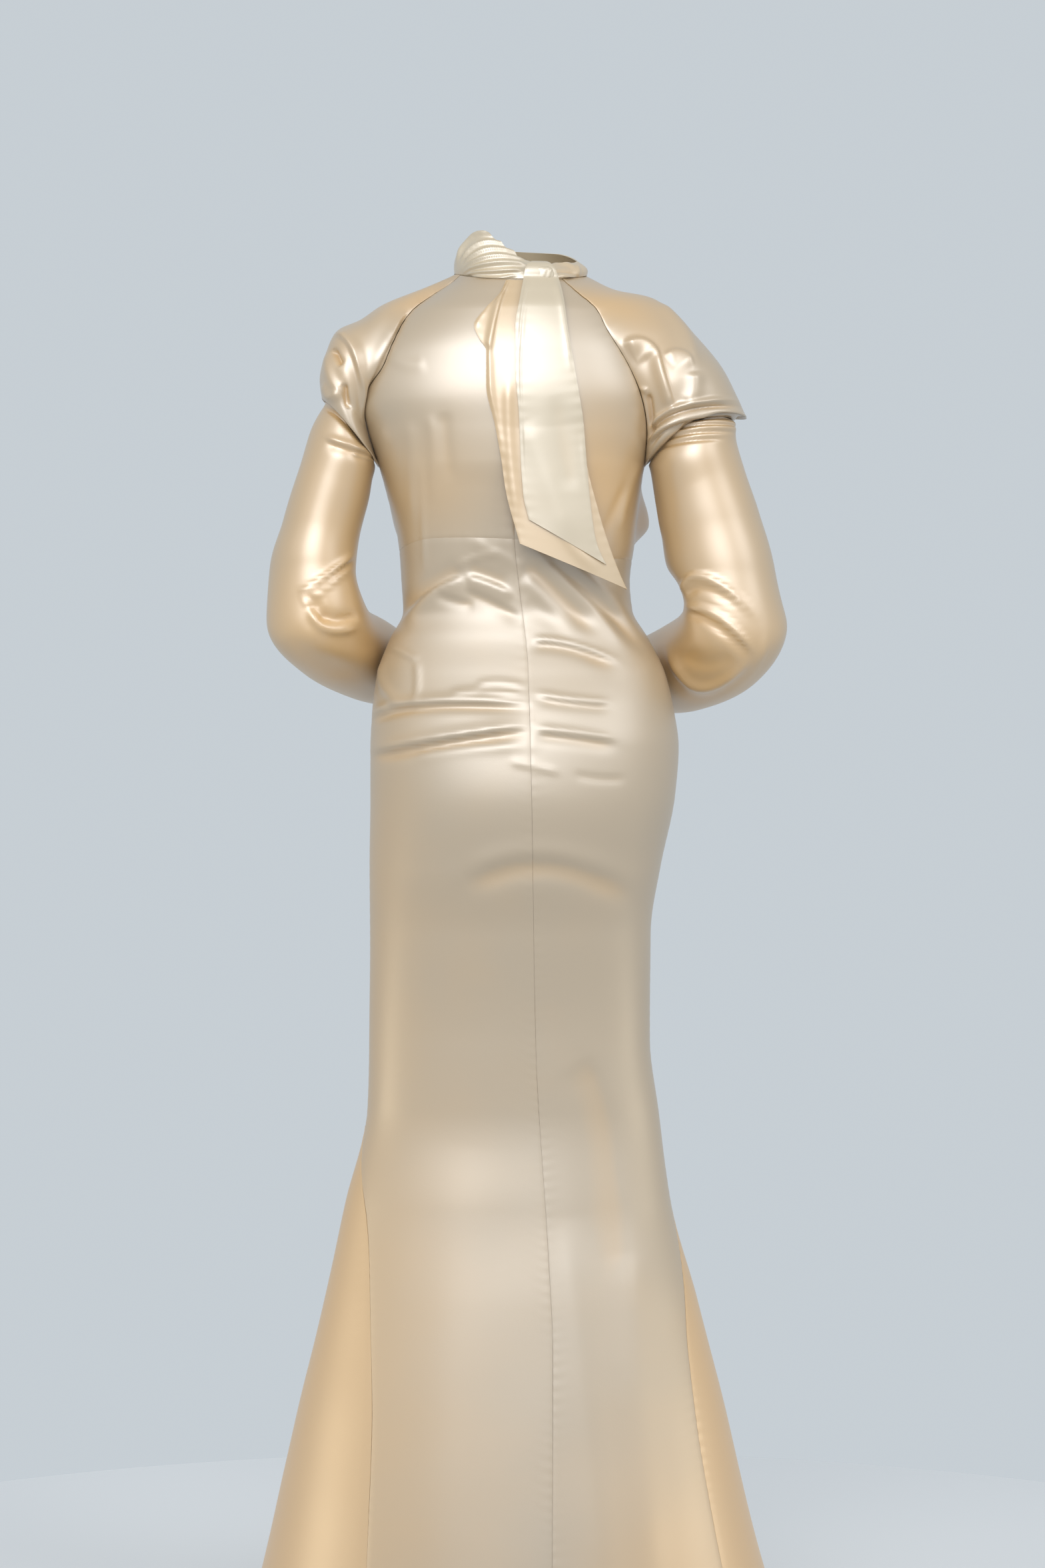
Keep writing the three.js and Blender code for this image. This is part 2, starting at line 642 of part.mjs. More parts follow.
function shoulderMesh(name, arm) {
  const surface = reliefPoint((side, t) => capPoint(arm, t, side), arm.folds, arm.side);
  const rows = raglanStations.map((t) => armSides.map((side) => {
    const along = min(max(side, EDGE_INSIDE - 1), 1 - EDGE_INSIDE);
    const down = min(max(t, EDGE_INSIDE), 1 - EDGE_INSIDE);
    const at = abs(side) === 1 ? capPoint(arm, t, side) : surface(side, t);
    const own = normalOf((u, v) => capPoint(arm, v, u), along, down, SHORT_STEP, SHORT_STEP);
    own.multiplyScalar(arm.side);
    if (abs(side) < 1) return { at, out: own };
    const seam = side < 0 ? arm.backSeam(t) : arm.frontSeam(t);
    const trunkOut = trunkNormal(seam.angle, seam.z);
    const leaving = surface(sign(side) * (1 - 3 * EDGE_INSIDE), t).sub(at);
    return { at, out: leaving.dot(trunkOut) > 0 ? own : trunkOut };
  }));
  for (const [fall, depth] of LIP_ROWS) {
    rows.push(armSides.map((side) => {
      const { point, inward, down, size } = capLoop(arm, side);
      const at = point.addScaledVector(down, size * fall).addScaledVector(inward, size * depth);
      const out = down.clone().addScaledVector(inward, -2 * (1 - depth)).normalize();
      return { at, out };
    }));
  }
  return wallMesh(name, rows);
}

// A sleeve's surface through its seam on the cap and the rings of its table, down to the cuff's edge
function sleeveSurface(arm) {
  const rings = [...arm.sleeve, ...arm.cuff].map(([x, y, z, ox, oy, oz, half, deep]) => ({
    centre: new THREE.Vector3(x, y, z),
    outward: new THREE.Vector3(ox, oy, oz).normalize(),
    half,
    deep,
  }));
  const top = sleeveSeam(arm, -1).at.add(sleeveSeam(arm, 0).at).multiplyScalar(0.5);
  const centres = [top, ...rings.map((ring) => ring.centre)];
  const loops = rings.map(({ centre, outward, half, deep }, k) => {
    const tangent = centres[min(k + 2, centres.length - 1)].clone().sub(centres[k]).normalize();
    const backward = outward.clone().cross(tangent).multiplyScalar(arm.side).normalize();
    return (side) => centre.clone()
      .addScaledVector(outward, half * cos(PI * side))
      .addScaledVector(backward, -deep * sin(PI * side));
  });
  loops.unshift((side) => {
    const { at, inward, down } = sleeveSeam(arm, side);
    return at.addScaledVector(inward, SEAM).addScaledVector(down, -WALL);
  });
  return (side, t) => clearOfTrunk(ringBlend(loops, side, t));
}

function ringBlend(loops, side, t) {
  const last = loops.length - 1;
  const k = min(max(Math.floor(t), 0), last - 1);
  const f = t - k;
  const [a, b, c, d] = [k - 1, k, k + 1, k + 2].map((n) => loops[min(max(n, 0), last)](side));
  const square = a.clone().multiplyScalar(2).addScaledVector(b, -5).addScaledVector(c, 4).sub(d);
  const cube = b.clone().multiplyScalar(3).sub(a).addScaledVector(c, -3).add(d);
  return b.clone().multiplyScalar(2)
    .addScaledVector(c.clone().sub(a), f)
    .addScaledVector(square, f * f)
    .addScaledVector(cube, f ** 3)
    .multiplyScalar(0.5);
}

// Moves a point of a sleeve out of the trunk, softly
function clearOfTrunk(point) {
  const y = point.y - sideLine(point.z);
  const distance = hypot(point.x, y);
  const surface = trunkPoint(atan2(y, point.x), point.z);
  const margin = distance - hypot(surface.x, surface.y - sideLine(point.z)) - SLEEVE_CLEARANCE;
  const moved = (hypot(margin, CLEAR_SOFTLY) - margin) / 2;
  const far = distance + moved * smoothstep(CLEAR_WITHIN - margin, 0, CLEAR_WITHIN);
  return new THREE.Vector3(point.x * far / distance, sideLine(point.z) + y * far / distance, point.z);
}

function sleeveMesh(name, arm, from, to, steps, folds) {
  const base = sleeveSurface(arm);
  const surface = reliefPoint(base, folds, arm.side);
  const rows = [];
  for (let j = 0; j <= steps; j += 1) {
    const t = lerp(from, to, j / steps);
    rows.push(armSides.slice(0, -1).map((side) => {
      if (t === 0) return { at: base(side, 0), out: sleeveSeam(arm, side).inward.negate() };
      const out = normalOf(surface, side, t, SLEEVE_STEP, SLEEVE_STEP).multiplyScalar(arm.side);
      return { at: surface(side, t), out };
    }));
  }
  return wallMesh(name, rows, { ring: true });
}

for (const [which, arm] of Object.entries(ARMS)) {
  const cuffStart = arm.sleeve.length + 1;
  const cuffGap = 0.01;
  add(shoulderMesh(`shoulder_${which}`, arm));
  add(sleeveMesh(`sleeve_${which}`, arm, 0, cuffStart - cuffGap, SLEEVE_STEPS, arm.sleeveFolds));
  add(sleeveMesh(`cuff_${which}`, arm, cuffStart, cuffStart + 1, 2, []));
}

// The neckline all round, from the wearer's left over the back
function necklinePoints() {
  const backLine = (edge, u) => {
    const z = lerp(NECK_BACK_Z, edge[0].z, u * u);
    const centre = trunkAngle(centreBackX(NECK_BACK_Z), NECK_BACK_Z, 1);
    return trunkPoint(lerp(centre, edge[0].angle, u), z);
  };
  const [first, second] = [leftFrontEdge[0].angle, rightFrontEdge[0].angle];
  const frontLine = (u) => trunkPoint(lerp(first, second, u), neckFrontZ(u));
  const { left, right } = ARMS;
  return [
    capPoint(left, 0, 0), capPoint(left, 0, -0.5), backLine(leftBackEdge, 1), backLine(leftBackEdge, 0.5),
    backLine(leftBackEdge, 0), backLine(rightBackEdge, 0.5), backLine(rightBackEdge, 1),
    capPoint(right, 0, -0.5), capPoint(right, 0, 0), capPoint(right, 0, 0.5),
    frontLine(1), frontLine(0.75), frontLine(0.5), frontLine(0.25), frontLine(0), capPoint(left, 0, 0.5),
  ];
}

const neckline = new THREE.CatmullRomCurve3(necklinePoints(), true, 'centripetal');
const [collarTopZ, collarBulge] = [1, 2].map((column) => byStation(COLLAR_ROWS, column));
const COLLAR_GAP = 0.6;

function collarPoint(u, v) {
  const foot = neckline.getPoint(u - Math.floor(u));
  const turn = atan2(foot.y - COLLAR_TOP.mid, foot.x);
  const degrees = THREE.MathUtils.radToDeg(turn < 0 ? turn + 2 * PI : turn);
  const wide = foot.x > 0 ? COLLAR_TOP.left : COLLAR_TOP.right;
  const deep = turn > 0 ? COLLAR_TOP.back : COLLAR_TOP.front;
  const rim = 1 / hypot(cos(turn) / wide, sin(turn) / deep);
  const top = new THREE.Vector3(rim * cos(turn), COLLAR_TOP.mid + rim * sin(turn), collarTopZ(degrees));
  const { count, from, to, rise } = COLLAR_PLEATS;
  const pleated = smoothstep(degrees, from, from + 20) * smoothstep(to - degrees, 0, 14);
  const pleat = rise * pleated * cos(2 * PI * count * v) * smoothstep(v, 0, 0.15);
  foot.z += COLLAR_GAP;
  const out = collarBulge(degrees) * sin(PI * v) + pleat;
  return foot.lerp(top, v).add(new THREE.Vector3(cos(turn), sin(turn), 0).multiplyScalar(out));
}

const COLLAR_STEPS = 10;
const collarRows = [];
for (let j = 0; j <= COLLAR_STEPS; j += 1) {
  const row = [];
  for (let i = 0; i < COLLAR_COLUMNS; i += 1) {
    const u = i / COLLAR_COLUMNS;
    const v = j / COLLAR_STEPS;
    const at = collarPoint(u, v);
    const out = new THREE.Vector3(at.x, at.y - COLLAR_TOP.mid, 0).normalize();
    row.push({ at, out });
  }
  collarRows.push(row);
}
add(wallMesh('collar', collarRows, { ring: true }));

// The trunk's back at a place, and the line a hanging tail takes over it
function backY(x, z) {
  return trunkPoint(trunkAngle(x, z, 1), z).y;
}

const HANG_FROM_Z = -130;
const HANG_SLOPE = 0.1;

function tailMesh(name, tableRows, off) {
  const [leftX, rightX] = [1, 2].map((column) => byHeight(tableRows, column));
  const [topZ, bottomZ] = [tableRows[0][0], tableRows[tableRows.length - 1][0]];
  const surface = (u, v) => {
    const z = lerp(topZ, bottomZ, v);
    const x = lerp(leftX(z), rightX(z), u);
    const low = z - TAIL_POINT * u * smoothstep(v, 0.6, 1);
    const hung = low < HANG_FROM_Z ? backY(x, HANG_FROM_Z) - HANG_SLOPE * (HANG_FROM_Z - low) : -Infinity;
    return new THREE.Vector3(x, max(backY(x, low), hung) + off, low);
  };
  const steps = tableRows.length * 2;
  const rows = [];
  for (let j = 0; j <= steps; j += 1) {
    const v = j / steps;
    const row = [];
    for (let i = 0; i <= TAIL_COLUMNS; i += 1) {
      const u = i / TAIL_COLUMNS;
      row.push({ at: surface(u, v), out: new THREE.Vector3(0, 1, 0) });
    }
    rows.push(row);
  }
  return wallMesh(name, rows);
}
add(tailMesh('tail_under', UNDER_TAIL_ROWS, UNDER_TAIL_OFF));
add(tailMesh('tail_upper', UPPER_TAIL_ROWS, UPPER_TAIL_OFF));

// Knot: a flattened ball with grooves where the band is gathered
function knotMesh() {
  const geometry = new THREE.SphereGeometry(1, 16, 10);
  const place = geometry.attributes.position;
  const points = [];
  const keys = new Map();
  const corner = [];
  const y = backY(KNOT.x, UPPER_TAIL_ROWS[0][0]) + UPPER_TAIL_OFF + KNOT.off;
  for (let i = 0; i < place.count; i += 1) {
    const unit = new THREE.Vector3().fromBufferAttribute(place, i);
    const key = unit.toArray().map((value) => value.toFixed(4) * 1).join();
    if (!keys.has(key)) {
      keys.set(key, points.length);
      const groove = 1 - 0.08 * cos(5 * PI * unit.x) * max(unit.z, 0);
      points.push(new THREE.Vector3(
        KNOT.x + KNOT.wide * unit.x * groove,
        y + KNOT.deep * unit.z * groove,
        KNOT.z + KNOT.high * unit.y * groove,
      ));
    }
    corner.push(keys.get(key));
  }
  const faces = [];
  for (let i = 0; i < geometry.index.count; i += 3) {
    const [a, b, c] = [0, 1, 2].map((n) => corner[geometry.index.getX(i + n)]);
    if (a !== b && b !== c && c !== a) faces.push(a, b, c);
  }
  return closedMesh('knot', points, faces);
}
add(knotMesh());

export default gown;
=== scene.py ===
import math

import bmesh
import bpy
import numpy as np
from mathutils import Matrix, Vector

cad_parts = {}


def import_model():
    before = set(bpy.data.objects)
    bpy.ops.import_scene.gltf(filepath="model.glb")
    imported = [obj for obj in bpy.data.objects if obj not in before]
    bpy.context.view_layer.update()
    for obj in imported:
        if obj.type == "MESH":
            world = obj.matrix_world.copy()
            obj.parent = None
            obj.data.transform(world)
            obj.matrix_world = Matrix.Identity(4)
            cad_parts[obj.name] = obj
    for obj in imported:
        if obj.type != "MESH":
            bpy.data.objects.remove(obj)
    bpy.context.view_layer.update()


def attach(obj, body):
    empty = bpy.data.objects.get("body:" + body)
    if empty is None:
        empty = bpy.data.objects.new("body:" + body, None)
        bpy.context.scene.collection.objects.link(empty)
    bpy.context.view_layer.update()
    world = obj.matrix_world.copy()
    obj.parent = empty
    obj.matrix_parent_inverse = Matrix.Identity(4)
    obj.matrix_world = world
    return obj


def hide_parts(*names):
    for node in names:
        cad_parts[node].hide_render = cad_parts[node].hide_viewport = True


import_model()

bl_info = {
    "name": "Scarf-neck mermaid gown",
    "version": (1, 0, 0),
    "blender": (4, 5, 0),
    "location": "View3D > Sidebar > Gown",
    "description": "Dresses the gown's pattern pieces in satin, panel by panel",
    "category": "Object",
}

# Lengths in the tables are millimetres, as in the pattern; meshes are metres
MM = 0.001
BODY = "root"
HEM_Z = -1560.0
NECK_BACK_Z = -14.0
NECK_FRONT_Z = -34.0
SEAM = 0.3
SECTION_POWER = 2.25
SLEEVE_CLEARANCE = 3.0
CLEAR_SOFTLY = 5.0
CLEAR_WITHIN = 30.0
CLOTH_WALL = 1.2
CUFF_GAP = 0.01
SIDE_FADE = 25.0
CURVE_STEPS = 40

# Points well inside a cap and behind a tail, which tell the outer side of their cloth
CAP_INSIDE = {"x": 100.0, "z": -110.0}
TAIL_INSIDE = 50.0

# Drawn folds: straight pieces of an arc, reach in widths, and pairs of where each fading starts and ends
FOLD_PIECES = 12
FOLD_REACH = 3.0
FOLD_FADE = (-0.05, 0.2)
FACES_BACK = (-0.1, 0.5)
SEAM_HOLD = 6.0

# A stitched seam: its roll, and the pucker beside it with its unevenness
SEAM_ROLL = {"depth": 0.45, "width": 1.3}
PUCKER = {"height": 0.18, "length": 13.0, "reach": 9.0}
PUCKER_VARIES = {"least": 0.6, "more": 0.4, "over": 37, "shift": 1.3, "each": 29}

# Slow waves: how the number of a piece and of a wave turn, lean and shift it, and how waves quicken
WAVE_PARTS = 5
WAVE_TURN = (1.7, 2.4)
WAVE_LEAN = (0.9, 1.3)
WAVE_SHIFT = (3.1, 1.9)
WAVE_RATE = (0.7, 0.17)

# Grid sizes of the finished cloth
RAGLAN_STATIONS = 90
SIDE_STATIONS = 45
BACK_COLUMNS = 64
FRONT_COLUMNS = 110
SKIRT_ROWS = 340
SKIRT_BACK_COLUMNS = 66
SKIRT_FRONT_COLUMNS = 104
GODET_ROWS = 190
GODET_COLUMNS = 50
CAP_COLUMNS = 150
CAP_ROWS_DOWN = 110
LIP_STEPS = 12
CAP_CROWDING = 0.7
SLEEVE_ROWS = 150
SLEEVE_CROWDING = 1.25
SLEEVE_COLUMNS = 130
CUFF_ROWS = 14
COLLAR_COLUMNS = 260
COLLAR_STEPS = 48
TAIL_ROWS = 150
TAIL_COLUMNS = 70
FLOOR_SIDES = 160

# The satin
SATIN_METAL = 0.08
SHEEN = {"weight": 1.0, "ior": 2.7}
PATCHY = {"Scale": 9.0, "Detail": 2.0}
PATCHY_SHARE = 0.35
GRAIN = {"Scale": 520.0, "Detail": 2.0}
CRUMPLE = {"Scale": 34.0, "Detail": 3.0}
# Painted shade: gold painted into the satin's colour in the troughs of its folds, by their depth, and in
# the places listed, where the satin lies in shade or takes warm reflections
PAINTED_TROUGH_SHADE = 0.3
TROUGH_DEPTH = (0.3, 3.0)
PAINTED_SHADE_PATCHES = {
    # x, z, half width, half height, amount
    "godet_left": [(280, -1380, 400, 900, 1.5)],
    "godet_right": [(-270, -1420, 400, 900, 1.4)],
    "skirt_back_left": [(150, -1350, 130, 420, 0.6), (165, -720, 50, 260, 0.4)],
    "skirt_back_right": [(-170, -1520, 110, 220, 0.8)],
    "bodice_front": [(-150, -270, 60, 60, 1.0), (150, -270, 40, 60, 0.6)],
    "bodice_back_left": [(100, -250, 60, 60, 0.5)],
    "bodice_back_right": [(-90, -250, 50, 80, 1.0)],
    "shoulder_left": [(110, -35, 60, 30, 0.7), (200, -110, 40, 50, 0.4)],
    "shoulder_right": [(-90, -40, 50, 26, 0.7), (-150, -60, 60, 40, 0.4), (-150, -130, 40, 50, 0.4)],
    "sleeve_left": [(230, -440, 90, 90, 0.8), (210, -260, 90, 160, 0.7)],
    "sleeve_right": [(-240, -460, 100, 90, 0.8), (-215, -270, 80, 150, 0.6)],
    "tail_under": [(0, -150, 200, 400, 0.7)],
    "collar": [(-60, 0, 30, 20, 0.4)],
}

# Stage, in metres
FLOOR = {"radius": 1.2, "z": -1.565, "roughness": 0.9}
LIGHTS = [
    # name, place, aim, size, power, spread in degrees, colour
    ("key", (0.3, 2.2, 0.8), (0.0, 0.0, -0.25), (2.8, 1.4), 10.4, 66, (1.0, 1.0, 1.0)),
    ("key_left", (2.5, 1.6, 1.4), (0.0, 0.0, -0.2), (1.8, 1.8), 0.5, 54, (1.0, 1.0, 1.0)),
    ("key_right", (-2.3, 1.9, 1.2), (-0.05, 0.0, -0.5), (1.8, 1.8), 2.6, 52, (1.0, 1.0, 1.0)),
    ("fill", (0.6, 5.2, 2.4), (0.0, 0.0, -0.2), (9.0, 4.4), 0.3, 180, (1.0, 0.98, 0.95)),
    ("low_left", (2.4, 0.5, -1.35), (0.28, 0.0, -1.35), (1.2, 0.5), 0.6, 32, (1.0, 0.86, 0.62)),
    ("low_right", (-2.4, 0.5, -1.35), (-0.28, 0.0, -1.38), (1.2, 0.5), 0.6, 32, (1.0, 0.88, 0.68)),
]
ROOM_LIGHT = 1.0
CAMERA = (-0.003, 4.5, -0.589)
SENSOR = 36.0
LENS = 89.5

# Trunk sections from neck to hem: half widths, depths from the side line, and that line's y
TRUNK_ROWS = [
    # z, left, right, back, front, mid
    (2, 70, 72, 64, 50, -8),
    (-8, 77, 78, 68, 54, -8),
    (-28, 106, 102, 80, 62, -6),
    (-50, 140, 125, 92, 78, -4),
    (-100, 180, 152, 103, 108, 0),
    (-150, 192, 165, 106, 130, 2),
    (-185, 178, 158, 104, 140, 2),
    (-222, 163, 144, 100, 144, 2),
    (-254, 154, 139, 95, 140, 0),
    (-315, 140, 132, 84, 124, -2),
    (-356, 137, 127, 78, 110, -4),
    (-390, 135, 130, 76, 104, -4),
    (-421, 150, 148, 82, 104, -2),
    (-462, 165, 168, 98, 108, 0),
    (-501, 170, 177, 112, 110, 4),
    (-547, 172, 183, 122, 112, 8),
    (-600, 172, 179, 125, 112, 10),
    (-684, 173, 162, 112, 112, 8),
    (-760, 173, 151, 96, 110, 4),
    (-884, 174, 150, 84, 104, 0),
    (-963, 176, 160, 82, 102, 0),
    (-1070, 201, 174, 98, 112, 0),
    (-1180, 225, 204, 126, 132, 0),
    (-1300, 254, 235, 158, 158, 0),
    (-1433, 284, 266, 196, 188, 0),
    (HEM_Z, 313, 301, 232, 216, 0),
]
CENTRE_BACK_ROWS = [
    # z, x
    (-14, 4),
    (-200, 7),
    (-312, 6),
    (-356, 2),
    (-453, -9),
    (-592, -13),
    (-884, -18),
    (-1120, -32),
    (-1230, -37),
    (HEM_Z, -35),
]
WAIST_ROWS = [
    # degrees, z
    (-90, -326),
    (0, -321),
    (35, -309),
    (90, -312),
    (125, -332),
    (180, -331),
    (270, -326),
]

# Folds are arcs through three points of the plane seen from behind; a rise below 0 is a trough
BACK_FOLDS = [
    # x1, z1, x2, z2, x3, z3, rise, width above, width below
    (136, -406, 104, -373, 61, -355, 3.6, 3.2, 16),
    (134, -396, 100, -363, 62, -346, -3.0, 12, 4),
    (61, -355, 36, -362, 6, -375, 3.0, 3.4, 12),
    (60, -346, 40, -352, 12, -364, -2.4, 10, 4),
    (76, -343, 50, -331, 22, -327, 1.2, 2.5, 5),
    (128, -176, 122, -226, 124, -292, 1.5, 7, 8),
    (104, -170, 98, -214, 100, -272, 1.4, 8, 6),
    (86, -168, 84, -204, 78, -250, -1.3, 8, 8),
    (150, -98, 128, -112, 106, -112, 1.0, 7, 9),
    (-138, -222, -122, -262, -116, -300, 1.8, 5, 6),
    (-128, -240, -104, -285, -92, -318, -1.5, 6, 6),
    (95, -372, 76, -380, 50, -386, -2.2, 4, 7),
    (64, -370, 34, -382, -2, -402, -2.2, 4, 9),
    (112, -223, 110, -285, 109, -348, 1.1, 3, 4),
    (60, -311, 20, -330, -6, -345, 1.2, 5, 8),
    (151, -430, 128, -441, 117, -448, 2.4, 4, 3),
    (118, -446, 116, -470, 118, -496, 2.2, 3.5, 3.5),
    (158, -446, 157, -476, 134, -497, 2.8, 5, 4),
    (152, -500, 140, -503, 118, -500, -2.4, 4, 4),
    (50, -480, 26, -475, -9, -481, 1.6, 4, 3),
    (50, -484, 26, -479, -9, -485, -1.2, 3, 4),
    (80, -489, 44, -485, -9, -489, 2.2, 5, 3),
    (80, -493, 44, -489, -9, -493, -1.4, 3, 3),
    (170, -511, 110, -496, -9, -498, 4.2, 7, 3.2),
    (170, -518, 110, -503, -9, -504, -4.2, 3.5, 6),
    (171, -551, 92, -537, -9, -523, 4.2, 9, 3.2),
    (171, -559, 92, -545, -9, -530, -5.0, 3.5, 9),
    (124, -560, 66, -549, -9, -546, 1.8, 5, 7),
    (-12, -426, -55, -429, -112, -449, 2.4, 4, 3),
    (-12, -433, -55, -436, -112, -456, -2.2, 3, 7),
    (-16, -487, -60, -493, -104, -497, 2.0, 4, 3),
    (-16, -493, -60, -500, -104, -503, -2.0, 3, 6),
    (-16, -527, -60, -531, -110, -539, 2.4, 5, 3),
    (-16, -534, -60, -539, -110, -546, -2.6, 3, 8),
    (12, -564, -16, -569, -46, -577, 1.4, 4, 4),
    (-60, -578, -90, -583, -120, -583, -1.2, 4, 5),
    (-10, -322, -58, -362, -120, -432, 3.4, 9, 8),
    (-24, -328, -74, -368, -146, -440, -3.6, 8, 8),
    (-40, -332, -92, -366, -148, -424, 2.6, 8, 9),
    (-4, -338, -40, -372, -88, -420, -3.0, 7, 9),
    (-4, -352, -34, -386, -84, -444, 2.2, 9, 11),
    (-8, -378, -50, -410, -110, -470, -1.6, 9, 12),
    (62, -708, -30, -682, -128, -722, -3.4, 12, 15),
    (66, -690, -20, -668, -120, -694, 2.2, 14, 14),
    (-69, -900, -98, -1010, -116, -1240, -2.6, 12, 24),
    (-52, -1080, -74, -1270, -100, -1545, 3.0, 26, 20),
    (-118, -1120, -128, -1260, -150, -1545, 3.0, 22, 20),
    (60, -1000, 78, -1240, 88, -1545, 2.0, 40, 40),
]
FRONT_FOLDS = [
    (-120, -350, -60, -364, 10, -352, 3.0, 9, 5),
    (-110, -362, -50, -376, 20, -362, -3.0, 5, 9),
    (130, -348, 80, -360, 24, -356, 2.6, 8, 5),
    (-150, -470, -90, -488, -20, -486, 3.0, 8, 4),
    (-150, -480, -90, -499, -20, -496, -3.0, 4, 9),
    (150, -500, 90, -512, 10, -506, 3.0, 8, 4),
    (150, -510, 90, -523, 10, -516, -3.0, 4, 9),
    (-156, -545, -80, -548, 0, -536, 2.0, 8, 6),
    (40, -900, 62, -1180, 90, -1545, 6.0, 28, 30),
    (-30, -880, -48, -1160, -70, -1545, -6.0, 28, 30),
    (-90, -960, -120, -1240, -150, -1545, 5.0, 24, 26),
    (-60, -120, -40, -200, -30, -300, 2.0, 16, 20),
    (70, -110, 46, -200, 34, -300, 2.4, 18, 20),
    (10, -230, 2, -270, 0, -318, -2.4, 12, 12),
]
# Fullness over the waist in front, and the sine of the angles over which it grows from the side seams
BLOUSE = {"top": -226, "bottom": -322, "peak": -288, "left": 8, "right": 24}
BLOUSE_TURN = (0.02, 0.4)

GODETS = {
    # rows: z, degrees to either side of the side seam
    "left": {"apex": -983, "rows": [(-983, 0.9), (-1080, 18), (-1198, 29.5), (-1316, 38.5), (HEM_Z, 50)]},
    "right": {"apex": -1080, "rows": [(-1080, 0.9), (-1160, 14), (-1237, 22), (-1343, 27), (HEM_Z, 31)]},
}

